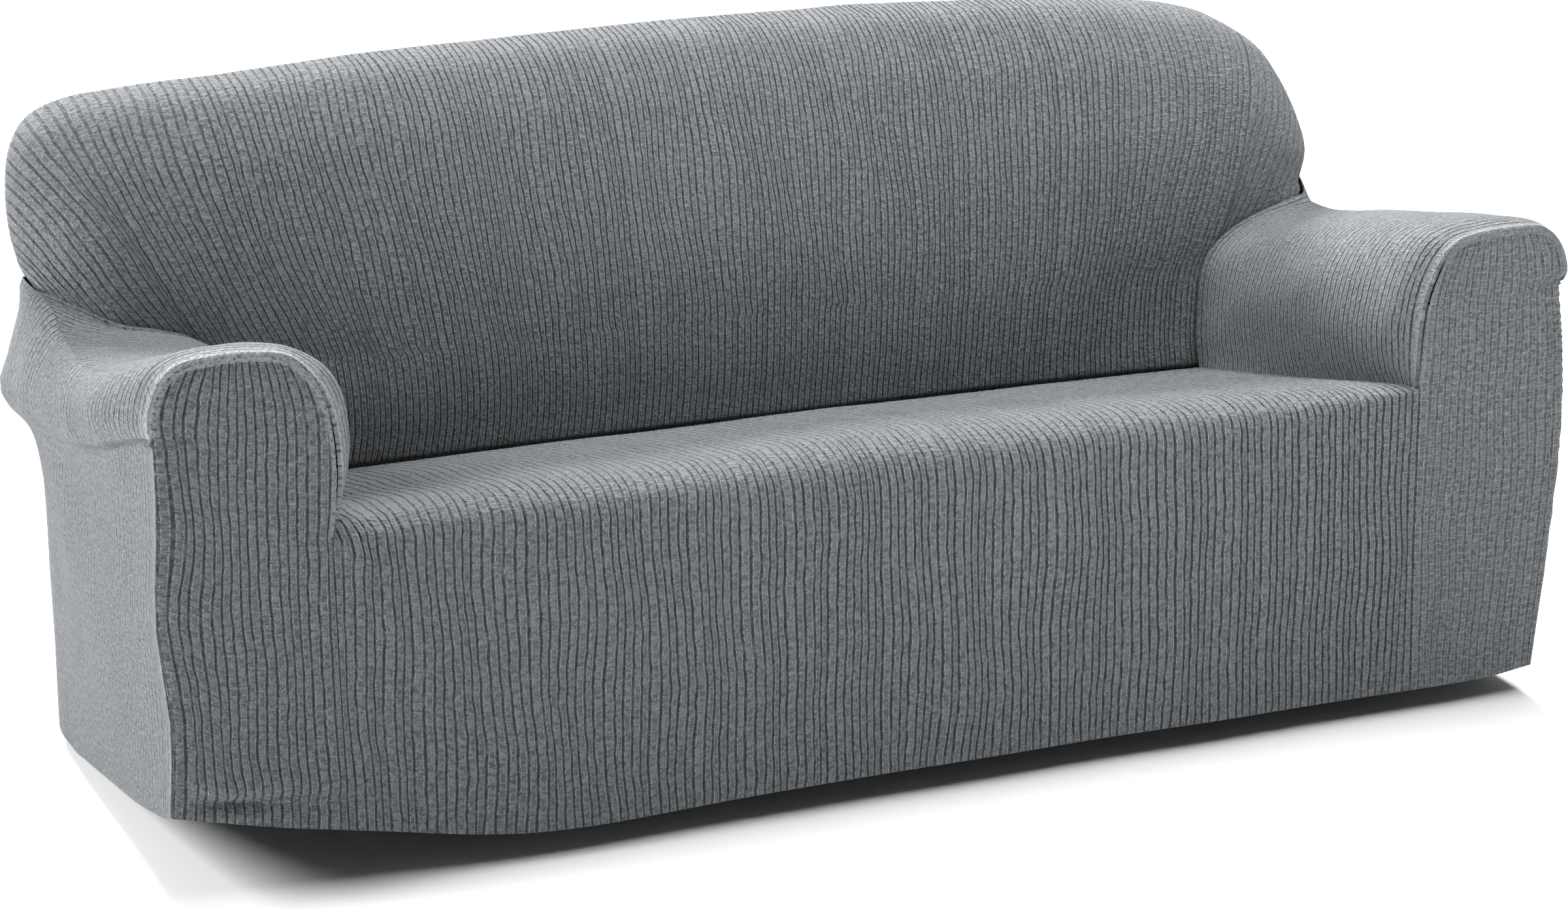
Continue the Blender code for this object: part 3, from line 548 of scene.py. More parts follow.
def inner_back(inner_rows, wing_rows, n_mid, n_up, n_wrap):
    """Face of the back with its wings, the strip between the arms, and the roll over the top. Each comes with
    the rib numbers of its columns and the lengths along them."""
    outline = back_edge(END_POINTS, 240)
    rim = wing_rim(wing_rows, n_mid)
    upper = fanned_ends(rim, outline, len(wing_rows))
    knots = run_of(rim)
    at, rib, middle = back_columns(knots, len(wing_rows))
    rim, upper = weights(knots, at) @ rim, weights(knots, at) @ upper
    upper[0], upper[-1] = rim[0, :2], rim[-1, :2]
    face = back_face(rim, upper, outline, n_up)
    u = (at[middle] - at[middle][0]) / (at[middle][-1] - at[middle][0])
    low = between_arms(face[middle], u, inner_rows)
    wrap = over_edge(face[:, -1], n_wrap)
    v_low = lengths(low)
    start = np.zeros(len(rib))
    start[middle] = v_low[:, -1]
    v_face = lengths(face, start)
    v_wrap = lengths(wrap, v_face[:, -1])
    run = run_of(face[:, -1])
    inside = unit(np.minimum(run, run[-1] - run)[:, None] / 0.03)
    rise = np.linspace(0, 1, n_up)[None]
    face = strayed(face, rib, v_face, 105, inside * unit(rise * 6 + (start > 0)[:, None]))
    wrap = strayed(wrap, rib, v_wrap, 105, inside)
    low[:, -1] = face[middle, 0]
    return (face, rib, v_face), (low, rib[middle], v_low), (wrap, rib, v_wrap)


# ---------------------------------------------------------------- the outer back
def outer_back(n_x, n_low, n_up, n_side, n_top):
    """The rear cloth, its edge over the ends of the others: its lower and its upper part."""
    seam = rear_seam(back_edge(n_side, n_top))
    seam = outset(seam, np.full(len(seam), REAR_OVER), -1.0)
    last = n_side + n_top - 1  # the top's last point
    rows = np.linspace(HEM_ROW, NECK, 120)
    sides = []
    for (side, table), part in zip(SIDES, (seam[:n_side], seam[last - 1 :][::-1])):
        edge = arm_xz(table, rows, np.full(len(rows), DEPTH)) * [side, 1]
        edge[:, 0] += side * REAR_OVER
        sides.append((evened(edge, n_low), evened(np.concatenate([edge[-1:], part[2:]]), n_up)))
    (left_low, left_up), (right_low, right_up) = sides
    crown = evened(seam[n_side - 1 : last], n_x)
    crown[0], crown[-1] = left_up[-1], right_up[-1]
    foot = np.linspace(left_low[0], right_low[0], n_x)
    waist = np.linspace(left_low[-1], right_low[-1], n_x)
    waist[:, 1] += 0.03 * (1 - np.abs(np.linspace(-1, 1, n_x)) ** 2)
    left_up[0], right_up[0] = waist[0], waist[-1]
    patches = []
    for flat in (coons(foot, waist, left_low, right_low), coons(waist, crown, left_up, right_up)):
        x, z = flat[..., 0], flat[..., 1]
        belly = unit(1 - (np.abs(x) / 0.93) ** 4) * unit((0.90 - z) / 0.25)
        y = DEPTH + REAR_BELLY * belly * (1 + 0.3 * np.sin(9 * x + 4 * z))
        patches.append(np.stack([x, y, z], axis=2))
    return patches


# ---------------------------------------------------------------- ribs
def ripple(a, b, size, seed):
    """Smooth noise over two lengths, about -1 to 1, with humps about size across."""
    chance = np.random.default_rng(seed)
    count = 9
    turns = chance.uniform(0, 2 * np.pi, count)
    phases = chance.uniform(0, 2 * np.pi, count)
    paces = chance.uniform(0.55, 1.5, count) * np.pi / size
    out = 0
    for turn, phase, pace in zip(turns, phases, paces):
        out = out + np.sin((a * np.cos(turn) + b * np.sin(turn)) * pace + phase)
    return out / np.sqrt(count / 2) / 1.6


def swell(place, size, seed):
    """Smooth noise in space, about -1 to 1, with humps about size across."""
    chance = np.random.default_rng(seed)
    out = 0
    for _ in range(12):
        way = chance.normal(size=3)
        way *= chance.uniform(0.6, 1.4) * np.pi / size / np.linalg.norm(way)
        out = out + np.sin(place @ way + chance.uniform(0, 2 * np.pi))
    return out / np.sqrt(6) / 1.6


def line_noise(length, size, seed):
    """Smooth noise along each row of lengths, every row on its own."""
    chance = np.random.default_rng(seed)
    out = 0
    for _ in range(4):
        phase = chance.uniform(0, 2 * np.pi, (len(length), 1))
        pace = chance.uniform(0.6, 1.5, (len(length), 1)) * np.pi / size
        out = out + np.sin(length * pace + phase)
    return out / 2.2


def grooves_over(span, seed, rib=RIB):
    """Where grooves lie along a span of cloth, from 0 to 1."""
    count = max(2, int(round(span / rib)))
    widths = 1 + UNEVEN * np.random.default_rng(seed).uniform(-1, 1, count)
    return np.concatenate([[0], np.cumsum(widths)]) / widths.sum()


def columns(grooves):
    """Mesh columns for these grooves: place from 0 to 1, and rib number with its fraction."""
    at = grooves[:-1, None] + np.diff(grooves)[:, None] * RIB_COLUMNS
    rib = np.arange(len(grooves) - 1)[:, None] + RIB_COLUMNS
    return np.append(at.ravel(), grooves[-1]), np.append(rib.ravel(), len(grooves) - 1)


def lengths(points, start=0.0):
    """Length along each column of a patch."""
    pieces = np.linalg.norm(np.diff(points, axis=1), axis=2)
    run = np.concatenate([np.zeros((len(points), 1)), np.cumsum(pieces, axis=1)], axis=1)
    return run + np.reshape(start, (-1, 1))


def in_ribs(patches, span, seed):
    """Patches that follow each other down the cloth, with mesh columns along each rib: the rib numbers of the
    columns, the patches and the lengths along them."""
    at, rib = columns(grooves_over(span, seed))
    made, runs = [], [np.zeros((len(at), 1))]
    for patch in patches:
        knots = np.linspace(0, 1, len(patch))
        made.append(np.einsum("pi,ijk->pjk", weights(knots, at), patch))
        runs.append(lengths(made[-1], runs[-1][:, -1]))
    return rib, made, runs[1:]


def strayed(points, rib, v, seed, fade):
    """The same surface with its columns moved sideways along it, so that the ribs wander."""
    groove = np.floor(rib + 1e-6).astype(int)
    part = (rib - groove)[:, None]
    lines = int(rib[-1]) + 1
    at_line = [np.searchsorted(rib, k - 1e-6) for k in range(lines)]
    v_line = v[at_line]
    place = np.arange(lines)[:, None] * RIB
    stray = WANDER * ripple(place, v_line, 0.11, seed) + WOBBLE * line_noise(v_line, 0.03, seed + 1)
    following = np.minimum(groove + 1, lines - 1)
    move = (1 - part) * stray[groove] + part * stray[following]
    tangent = np.gradient(points, axis=0)
    size = np.linalg.norm(tangent, axis=2, keepdims=True)
    return points + tangent / np.maximum(size, 1e-9) * (move * fade)[..., None]


def astray(points, rib, v, seed, span):
    """The same, with the two sides of the cloth left in place."""
    at = np.linspace(0, 1, len(points))[:, None]
    return strayed(points, rib, v, seed, unit(np.minimum(at, 1 - at) * span / 0.02))


def relief_of(rib, v, strength, seed):
    """Height of the ribs over the smooth cloth, at each point."""
    groove = np.floor(rib + 1e-6).astype(int)
    part = rib - groove
    chance = np.random.default_rng(seed)
    deep = chance.uniform(0.8, 1.25, int(rib[-1]) + 1)
    height = np.zeros(v.shape)
    in_groove = part < 0.05
    worn = 1 + 0.35 * line_noise(v[in_groove], 0.025, seed + 3)
    height[in_groove] = -GROOVE * deep[groove[in_groove]][:, None] * worn
    on_edge = np.abs(np.abs(part - 0.5) - THREAD_AT) < 0.05
    height[on_edge] = EDGE_THREAD * (1 + 0.8 * line_noise(v[on_edge], 0.012, seed + 4))
    return np.maximum(height, -DEEPEST) * strength


def rings_of(grid):
    """The four corners of each cell of a grid."""
    found = np.stack([grid[:-1, :-1], grid[1:, :-1], grid[1:, 1:], grid[:-1, 1:]], axis=2)
    return found.reshape(-1, 4, *grid.shape[2:])


def placed(name, data):
    """A new object in the scene."""
    made = bpy.data.objects.new(name, data)
    bpy.context.scene.collection.objects.link(made)
    return made


class Cloth:
    """Patches of one cloth, sewn into one closed mesh."""

    def __init__(self, name, node):
        self.name, self.node = name, node
        self.patches = []

    def add(self, points, rib, v, strength, grid, relief=0.0, edge=0.0, seam=0.0, across=4, turned=False, seed=0):
        """points are a grid; ribs run along its second direction. relief fades out at the cloth's edges and edge
        doesn't. The layer inside has each across-th column."""
        shape = points.shape[:2]
        fields = {"rib": rib[:, None], "v": v, "strength": strength, "grid": grid, "edge": edge, "seam": seam}
        patch = {key: np.broadcast_to(np.asarray(value, float), shape) for key, value in fields.items()}
        patch["points"] = points
        patch["height"] = relief_of(rib, v, patch["strength"], seed) + relief
        patch["thinned"] = [
            np.unique(np.append(np.arange(0, n, step), n - 1)) for n, step in zip(shape, (across, THIN_ALONG))
        ]
        patch["turned"] = turned
        self.patches.append(patch)

    def weld(self):
        """Give points in one place one number. Returns what is known at each, the faces and their corners' UVs."""
        stacked = {
            key: np.concatenate([p[key].reshape(-1, *p[key].shape[2:]) for p in self.patches])
            for key in ("points", "rib", "v", "height", "edge", "strength", "grid", "seam")
        }
        keys = np.floor(stacked["points"] / WELD + 0.137).astype(np.int64)
        _, first, index = np.unique(keys, axis=0, return_index=True, return_inverse=True)
        index = index.ravel()
        faces, corners = [], []
        start = 0
        for p in self.patches:
            m, n = p["points"].shape[:2]
            p["ids"] = index[start : start + m * n].reshape(m, n)
            start += m * n
            way = -1 if p["turned"] else 1
            faces.append(rings_of(p["ids"])[:, ::way])
            corners.append(rings_of(np.stack([p["rib"], p["v"]], axis=2))[:, ::way])
        return {key: found[first] for key, found in stacked.items()}, np.concatenate(faces), np.concatenate(corners)

    def lining(self):
        """Faces of the layer inside, with fewer points, and the stretches of the cloth's open edges."""
        rings, edges = [], {}
        for p in self.patches:
            ids, way = p["ids"], -1 if p["turned"] else 1
            cells_i, cells_j = (list(zip(at[:-1], at[1:])) for at in p["thinned"])
            for i0, i1 in cells_i:
                for j0, j1 in cells_j:
                    rings.append([ids[i0, j0], ids[i0, j1], ids[i1, j1], ids[i1, j0]][::way])
            rims = []
            for j, turn in ((0, 1), (-1, -1)):
                rims += [ids[a : b + 1, j][::turn] for a, b in cells_i]
            for i, turn in ((0, -1), (-1, 1)):
                rims += [ids[i, a : b + 1][::turn] for a, b in cells_j]
            for rim in rims:
                rim = rim[::way]
                rim = [int(k) for n, k in enumerate(rim) if n == 0 or k != rim[n - 1]]
                if len(rim) > 1:
                    ends = (min(rim[0], rim[-1]), max(rim[0], rim[-1]))
                    edges.setdefault(ends, []).append(rim)
        return rings, [found[0] for found in edges.values() if len(found) == 1]

    def build(self, dents, material):
        """The closed mesh: the cloth outside, the layer inside and the edges between them."""
        at, faces, corners = self.weld()
        place = at["points"]
        one = place[faces]
        face_normal = np.cross(one[:, 2] - one[:, 0], one[:, 3] - one[:, 1])
        normal = np.zeros((len(place), 3))
        for k in range(4):
            np.add.at(normal, faces[:, k], face_normal)
        normal /= np.maximum(np.linalg.norm(normal, axis=1, keepdims=True), 1e-12)
        inner_faces, rims = self.lining()
        inside = sorted({int(k) for ring in inner_faces for k in ring})
        number = {k: len(place) + n for n, k in enumerate(inside)}
        edge_points = sorted({k for rim in rims for k in rim})
        tree = KDTree(len(edge_points))
        for n, k in enumerate(edge_points):
            tree.insert(place[k], n)
        tree.balance()
        away = np.array([tree.find(p)[2] for p in place])
        height = at["height"] * unit(away / 0.004) + at["edge"]
        push = dents(place, away)
        outer = place + normal * (height + push)[:, None]
        inner = (place + normal * (push - THICK)[:, None])[inside]
        rings = [list(map(int, face)) for face in faces]
        rings += [[number[int(k)] for k in ring] for ring in inner_faces]
        rings += [[number[rim[0]], number[rim[-1]]] + rim[::-1] for rim in rims]
        source = np.concatenate([np.arange(len(place)), np.array(inside)])
        point_uv = np.stack([at["rib"], at["v"]], axis=1)[source]
        clean, uvs = [], []
        for n, ring in enumerate(rings):
            keep = [k for k in range(len(ring)) if ring[k] != ring[k - 1]]
            if len({ring[k] for k in keep}) < 3:
                continue
            clean.append([ring[k] for k in keep])
            uvs.extend((corners[n][keep] if n < len(faces) else point_uv[clean[-1]]).tolist())
        mesh = bpy.data.meshes.new(self.name)
        mesh.from_pydata((np.concatenate([outer, inner]) - ORIGIN).tolist(), [], clean)
        mesh.uv_layers.new(name="ribs").data.foreach_set("uv", np.array(uvs, np.float32).ravel())
        for key in ("strength", "grid", "seam"):
            layer = mesh.attributes.new(key, "FLOAT", "POINT")
            layer.data.foreach_set("value", at[key][source].astype(np.float32))
        mesh.shade_smooth()
        mesh.set_sharp_from_angle(angle=SHARP)
        mesh.materials.append(material)
        piece = placed(self.name, mesh)
        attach(piece, "root")
        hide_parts(self.node)
        return piece


# ---------------------------------------------------------------- the five cloths
def seam_ridge(points, side, table):
    """The folded seam allowance that stands up round the front of an arm: its height, where the cloth inside it has
    its ribs, and how much paler the band beside it is painted, partly as stretched threads and partly as painted
    light."""
    line = arm_edge(table, side, np.linspace(0, SEAM_END, 220))
    away, where = path_distance(points[..., 0], points[..., 2], line)
    ends = unit(where / 0.03) * unit((1 - where) / 0.02)
    pucker = 1 + 0.28 * np.sin(where * 330.0 + 3.0 * np.sin(where * 41.0)) + 0.12 * np.sin(where * 143.0)
    ridge = SEAM_HIGH * pucker * bell(np.maximum(away - 0.0020, 0), 0.0022)
    ditch = -SEAM_DITCH * bell(away - 0.0070, 0.0020)
    band = 0.8 * bell(away, 0.0042) * ends
    share = 1.0 if side < 0 else RIGHT_SEAM
    return (ridge * share + ditch) * ends, unit((away - 0.003) / 0.003), band * share


def seam_lip(y, row):
    """The front edge of an arm's cloth turns outwards into the seam round the arm's front."""
    return SEAM_TURN * unit(1 - (y - y.min()) / 0.008) ** 1.5 * unit(row / 0.8) * unit((SEAM_GONE - row) / 0.6)


def seam_band(side, y, row):
    """Where the cloth is drawn together beside the seam: paler, partly as stretched threads and partly as painted
    light on cloth that faces away from the lamps, with fine puckers across it.
    """
    wide, pale_and_lit = (0.026, 1.0) if side < 0 else (0.007, 0.6)
    ends = unit(row / 0.8) * np.maximum(unit((SEAM_GONE - row) / 0.6), 0.4 * (row > SEAM_END))
    return pale_and_lit * unit(1 - (y - y.min()) / wide) ** 0.7 * ends


def tuck(side, x, z, inwards):
    """A short tuck where the seam round an arm's front ends under the roll."""
    up = z - (TUCK_Z + 0.05 * inwards + 0.0015 * np.sin(inwards * 260.0))
    deep = TUCK_DEEP * unit(1 - inwards / 0.075) ** 1.2
    folds = TUCK_FOLD * np.sin(up * 620.0) * bell(up, 0.016) * unit(1 - inwards / 0.06)
    # fine puckers down the corner below it
    corner = unit(1 - inwards / 0.03) ** 2 * unit(-up / 0.02) * unit((z - 0.15) / 0.05)
    folds = folds + TUCK_FOLD * np.sin(z * 520.0 + 3.0 * np.sin(z * 60.0)) * corner
    return (folds - deep * bell(up, 0.0055)) * (side * x > 0.9)


def gathers(side, points, row):
    """Small puckers of the arm cloth along the lower edge of a wing."""
    behind = unit(crease_y(row) - points[..., 1])
    lift = bell(behind, 0.030) * unit((row - 6.2) / 1.5)
    return GATHER * lift * np.sin(row * 21.0 + 2.0 * np.sin(row * 5.0) + 25 * behind) * (1 if side < 0 else 0.6)


def front_cloth():
    """The apron, the seat and the fronts of both arms."""
    cloth = Cloth("front_and_seat_cloth", "front_and_seat")
    rows = steps((0, 1, 4), (1, 4, 20), (4, 9, 46))
    *lobes, apron, seat = front_and_seat(n_lobe=65, n_mid=161, n_low=44, n_up=84, rows=rows)
    rib, (apron, seat), (v_apron, v_seat) = in_ribs((apron, seat), FRONT_SPAN, 11)
    right = unit((apron[..., 0] - 0.45) / 0.3)
    calm = 1 - 0.45 * unit((apron[..., 0] - 0.70) / 0.15)
    flat = 0.62 + 0.38 * unit(1 - (v_seat - v_apron[:, -1:]) / 0.12)
    apron = astray(apron, rib, v_apron, 21, FRONT_SPAN)
    seat = astray(seat, rib, v_seat, 21, FRONT_SPAN)
    cloth.add(apron, rib, v_apron, calm, 0.25 + 0.9 * right, across=6, seed=31)
    cloth.add(seat, rib, v_seat, flat, 0.3, across=6, seed=31)
    for (side, table), lobe, seed, ribbed, grid in zip(SIDES, lobes, (41, 51), (1.0, 0.45), (0.45, 1.3)):
        rib, (lobe,), (v,) = in_ribs((lobe,), LOBE_SPAN, seed)
        lobe = astray(lobe, rib, v, seed + 1, LOBE_SPAN)
        ridge, inside, band = seam_ridge(lobe, side, table)
        ridge = ridge + tuck(side, lobe[..., 0], lobe[..., 2], unit(0.972 - side * lobe[..., 0]))
        cloth.add(lobe, rib, v, ribbed * inside, grid, edge=ridge, seam=band, seed=seed + 2)
    return cloth


def arm_cloth(side, table, name, node):
    """The inner face, the roll and the outer side of one arm."""
    cloth = Cloth(name, node)
    seed = 60 if side < 0 else 80
    span = CREASE_Y - THICK
    at, rib = columns(grooves_over(span, seed))
    back_at, back_rib = columns(grooves_over(ARM_REAR_SPAN, seed + 5))
    upper = steps((0, 6, 56), (6, NECK, 64))
    lower = steps((NECK, 13, 28), (13, 14.6, 24), (14.6, HEM_ROW, 24))
    inner, outer, rear = arm(table, side, at, upper, lower, back_at)
    v_in = lengths(inner)
    v_out = lengths(outer, v_in[:, -1])
    for points, v, row in ((inner, v_in, upper[None]), (outer, v_out, lower[None])):
        points = astray(points, rib, v, seed + 1, span)
        y = points[..., 1].copy()
        lip = seam_lip(y, row)
        points[..., 1] -= lip
        if v is v_in:
            look = {"strength": 1.10 + 0.15 * unit(1 - y / 0.5), "grid": 0.30}
            look["relief"] = gathers(side, points, row)
        else:
            front = unit(1 - y / 0.15)
            look = {"strength": 0.60 + 0.40 * unit((13.5 - row) / 1.5) + 0.10 * front, "grid": 0.75 + 0.35 * front}
            lip = lip + tuck(side, points[..., 0], points[..., 2] + 0.25 * y, y)
        band = seam_band(side, y, row)
        cloth.add(points, rib, v, **look, edge=lip, seam=band, turned=side < 0, seed=seed + 2)
    v_rear = lengths(rear, v_out[-1, 0])
    cloth.add(rear, back_rib + rib[-1], v_rear, 0.3, 0.2, turned=side < 0, seed=seed + 3)
    return cloth


def back_cloth():
    """The front of the back with its wings, and its roll over the top."""
    cloth = Cloth("inner_back_cloth", "inner_back")
    inner_rows, wing_rows = np.linspace(0, SHOULDER, 20), np.linspace(SHOULDER, NECK, 49)
    face, low, wrap = inner_back(inner_rows, wing_rows, n_mid=181, n_up=46, n_wrap=27)
    x = face[0][..., 0]
    end = unit((np.abs(x) - 0.55) / 0.35)
    right = end * (x > 0)
    cloth.add(*face, 0.9 - 0.15 * end - 0.25 * right, 0.15 + 1.15 * right, seed=101)
    cloth.add(*low, 0.9, 0.15, seed=101)
    top = unit((np.abs(wrap[0][..., 0]) - 0.75) / 0.2)
    cloth.add(*wrap, 0.8 - 0.3 * top, 0.3, seed=101)
    return cloth


def rear_cloth():
    """The back of the cover."""
    cloth = Cloth("outer_back_cloth", "outer_back")
    low_and_up = outer_back(n_x=121, n_low=46, n_up=40, n_side=END_POINTS, n_top=200)
    rib, patches, runs = in_ribs(low_and_up, REAR_SPAN, 121)
    for points, v in zip(patches, runs):
        cloth.add(astray(points, rib, v, 122, REAR_SPAN), rib, v, 0.6, 0.2, turned=True, seed=123)
    return cloth


def soft_dents(size, height, seed):
    """A maker of soft unevenness that fades out at the edges of a cloth, and of the sunk creases."""

    def push(place, away):
        wave = swell(place, size, seed) + 0.5 * swell(place, size / 2.3, seed + 1)
        crease = (place[:, 1] > 0.40) & (place[:, 1] < 0.75) & (place[:, 2] > 0.28)
        return height * wave * unit(away / 0.06) ** 1.5 - CREASE_SINK * bell(away, CREASE_WIDE) * crease

    return push


# ---------------------------------------------------------------- material
CREPE_SHADED = ((0.068, 0.078, 0.081), (0.162, 0.177, 0.181))  # painted shade in the crepe's hollows, and the colour of its tops
WARM_FLECK = (0.165, 0.146, 0.140)
COOL_FLECK = (0.080, 0.120, 0.134)
HAZE = (0.136, 0.142, 0.155)  # in broad soft patches
# paler yarn of the threads beside each groove, with painted highlight where a groove's wall faces the lamps
THREAD_AND_HIGHLIGHT = (0.30, 0.33, 0.34)
CROSS_THREAD = (0.29, 0.32, 0.33)
# colour of the band beside a seam: partly paler stretched threads, partly painted light
SEAM_PALE_AND_LIT = (0.34, 0.35, 0.37)
# painted shade in the grooves between the ribs
GROOVE_SHADE = (0.022, 0.024, 0.023)
SHADER = {
    "Roughness": 0.88, "Sheen Weight": 0.26, "Sheen Roughness": 0.38, "Sheen Tint": (0.93, 0.92, 1.0),
    "Specular IOR Level": 0.25,
}
BUMP = 0.0045  # how high the nodes' relief is


def put(links, value, socket):
    """A number, a colour or another node's output into a socket."""
    if isinstance(value, (int, float)):
        socket.default_value = value
    elif isinstance(value, tuple):
        socket.default_value = (*value, 1)
    else:
        links.new(value, socket)


def ribbed_cloth():
    """Crinkle cloth: painted shade in the grooves between the ribs and in the crepe's hollows, light threads along
    the ribs that are partly paler yarn and partly painted highlight, a paler seam band that is partly painted
    light, short cross threads and flecks.
    """
    material = bpy.data.materials.new("ribbed_cloth")
    material.use_nodes = True
    nodes, links = material.node_tree.nodes, material.node_tree.links
    shader = nodes["Principled BSDF"]

    def node(kind, inputs=(), **settings):
        """A new node with its settings, and with values by the names or numbers of its inputs."""
        made = nodes.new(kind)
        for key, value in settings.items():
            setattr(made, key, value)
        for key, value in dict(inputs).items():
            put(links, value, made.inputs[key])
        return made

    def math(operation, *values):
        return node("ShaderNodeMath", enumerate(values), operation=operation).outputs[0]

    def times(a, b):
        return math("MULTIPLY", a, b)

    def times_plus(a, b, c):
        return math("MULTIPLY_ADD", a, b, c)

    def ramp(value, low, high, to_low=0.0, to_high=1.0):
        inputs = {"Value": value, "From Min": low, "From Max": high, "To Min": to_low, "To Max": to_high}
        return node("ShaderNodeMapRange", inputs, interpolation_type="SMOOTHSTEP").outputs["Result"]

    def noise(place, scale, detail=2.0, rough=0.5):
        inputs = {"Vector": place, "Scale": scale, "Detail": detail, "Roughness": rough}
        return node("ShaderNodeTexNoise", inputs).outputs["Fac"]

    def grain(across, per_rib, per_metre, detail=2.0, rough=0.5):
        """Noise with its own pace over the ribs and along them."""
        place = node("ShaderNodeCombineXYZ", enumerate((times(across, per_rib), times(run, per_metre), 0.0)))
        return noise(place.outputs[0], 1.0, detail, rough)

    def mixed(share, a, b):
        return node("ShaderNodeMix", {0: share, 6: a, 7: b}, data_type="RGBA").outputs[2]

    uv = node("ShaderNodeUVMap", uv_map="ribs").outputs[0]
    rib, run, _ = node("ShaderNodeSeparateXYZ", {0: uv}).outputs
    # seam marks the band beside a seam, which is painted paler, partly as painted light
    strength, grid, seam = (
        node("ShaderNodeAttribute", attribute_name=name).outputs["Fac"] for name in ("strength", "grid", "seam")
    )
    place = node("ShaderNodeTexCoord").outputs["Object"]

    # along the ribs: the groove, painted dark as shade and broken here and there, and beaded threads on both sides
    # of it, partly paler yarn and partly painted highlight
    wavy = math("ADD", rib, times_plus(grain(rib, 0.9, 160.0), 0.22, -0.11))
    beside = math("PINGPONG", wavy, 0.5)
    broken = grain(math("ROUND", wavy), 3.7, 55.0, 1.0)
    groove = times(times(ramp(beside, 0.21, 0.08), ramp(broken, 0.30, 0.55, 0.4, 1.0)), strength)
    thread = times(ramp(beside, 0.16, 0.20), ramp(beside, 0.34, 0.25))
    drawn = math("MINIMUM", times_plus(grid, 0.6, strength), 1.2)
    thread = times(times(thread, ramp(grain(rib, 2.0, 280.0, 1.0), 0.38, 0.62)), drawn)

    # cross threads: short ladders everywhere, a whole grid where the cloth is drawn both ways
    cell = math("FLOOR", wavy)
    ladder_at = times_plus(run, 92.0, times(grain(cell, 5.3, 9.0, 0.0), 6.0))
    ladder = ramp(math("PINGPONG", ladder_at, 0.5), 0.12, 0.03)
    some = ramp(grain(cell, 8.1, 40.0, 0.0), 0.52, 0.60)
    ladder = times(ladder, math("ADD", times(some, 0.22), times(grid, 0.75)))

    crinkle = noise(place, 480.0, 3.0, 0.65)
    crush = noise(place, 150.0, 3.0, 0.6)
    crepe = grain(rib, 1.5, 175.0, 3.0, 0.6)
    yarn = grain(rib, 9.0, 900.0, 2.0, 0.6)
    pucker = grain(rib, 2.6, 210.0, 1.0)

    # painted shade: the colour darkens where the crepe's relief is low, as in its hollows
    hollow_shade = math("ADD", times(crepe, 0.70), times(crush, 0.30))
    colour = mixed(ramp(hollow_shade, 0.42, 0.58), *CREPE_SHADED)
    colour = mixed(times(ramp(noise(place, 330.0, 1.0), 0.58, 0.70), 0.5), colour, WARM_FLECK)
    colour = mixed(times(ramp(noise(place, 290.0, 1.0), 0.42, 0.30), 0.55), colour, COOL_FLECK)
    colour = mixed(ramp(noise(place, 5.0, 2.0), 0.3, 0.7, 0.0, 0.25), colour, HAZE)
    # the threads beside the grooves: partly paler yarn, partly painted highlight on the lit walls of the grooves
    colour = mixed(times(thread, 0.75), colour, THREAD_AND_HIGHLIGHT)
    colour = mixed(math("MINIMUM", times(ladder, 0.60), 0.8), colour, CROSS_THREAD)
    # the band beside a seam is painted paler: partly stretched threads, partly painted light where it faces away
    # from the lamps
    colour = mixed(times(times(seam, ramp(pucker, 0.36, 0.52)), 0.85), colour, SEAM_PALE_AND_LIT)
    # painted shade in the grooves, weaker on the band beside a seam
    groove = times(groove, times_plus(seam, -0.7, 1.0))
    colour = mixed(times(groove, 0.80), colour, GROOVE_SHADE)

    height = times_plus(crinkle, 0.45, crepe)
    height = times_plus(times(crush, times_plus(strength, -1.2, 1.8)), 1.8, height)
    for relief, share in ((yarn, 0.2), (thread, 0.65), (ladder, 0.5), (times(seam, pucker), 1.2)):
        height = times_plus(relief, share, height)
    height = math("SUBTRACT", height, times(groove, 0.8))
    bump = node("ShaderNodeBump", {"Strength": 1.0, "Distance": BUMP, "Height": height}).outputs[0]
    for key, value in {**SHADER, "Base Color": colour, "Normal": bump}.items():
        put(links, value, shader.inputs[key])
    return material


# ---------------------------------------------------------------- stage
FLOOR_Z = -0.020  # the sofa's feet stand lower than the hem
FLOOR_HALF = 40.0
FLOOR_COLOUR = (0.93, 0.93, 0.93)
SKY_COLOUR = (0.97, 0.98, 1.0)
SKY_FRONT, SKY_BEHIND = 0.18, 0.36  # strength of the soft light from all round
LIGHTS = (
    # name, kind, place, aims at, size or angle, power, spread in degrees
    ("behind", "SUN", (0.2, 3.0, 2.2), (0.0, 0.0, 0.0), 20, 8.0, 0),
    ("side", "AREA", (-4.0, -0.3, 2.6), (-0.8, 0.0, 0.5), 1.6, 205.0, 180),
    ("top", "AREA", (0.8, 0.4, 3.8), (0.3, 0.1, 0.6), 2.0, 142.0, 180),
    ("fill", "AREA", (0.5, -1.7, 2.7), (0.35, 0.2, 0.78), 1.4, 16.0, 75),
)
# the photograph's viewpoint, found from the cover's corners and seams
CAMERA_AT = (-1.6516, -4.065, 1.532)
AZIMUTH, ELEVATION, ROLL = np.radians([-21.98, 15.1, -1.19])
SENSOR, LENS = 36.0, 74.02  # mm


def floor():
    """A plain pale floor."""
    material = bpy.data.materials.new("pale_floor")
    material.use_nodes = True
    shader = material.node_tree.nodes["Principled BSDF"]
    shader.inputs["Base Color"].default_value = (*FLOOR_COLOUR, 1)
    shader.inputs["Roughness"].default_value = 0.9
    mesh = bpy.data.meshes.new("floor")
    corners = [(x * FLOOR_HALF, y * FLOOR_HALF, FLOOR_Z) for x, y in ((-1, -1), (1, -1), (1, 1), (-1, 1))]
    mesh.from_pydata(corners, [], [(0, 1, 2, 3)])
    mesh.materials.append(material)
    placed("floor", mesh)


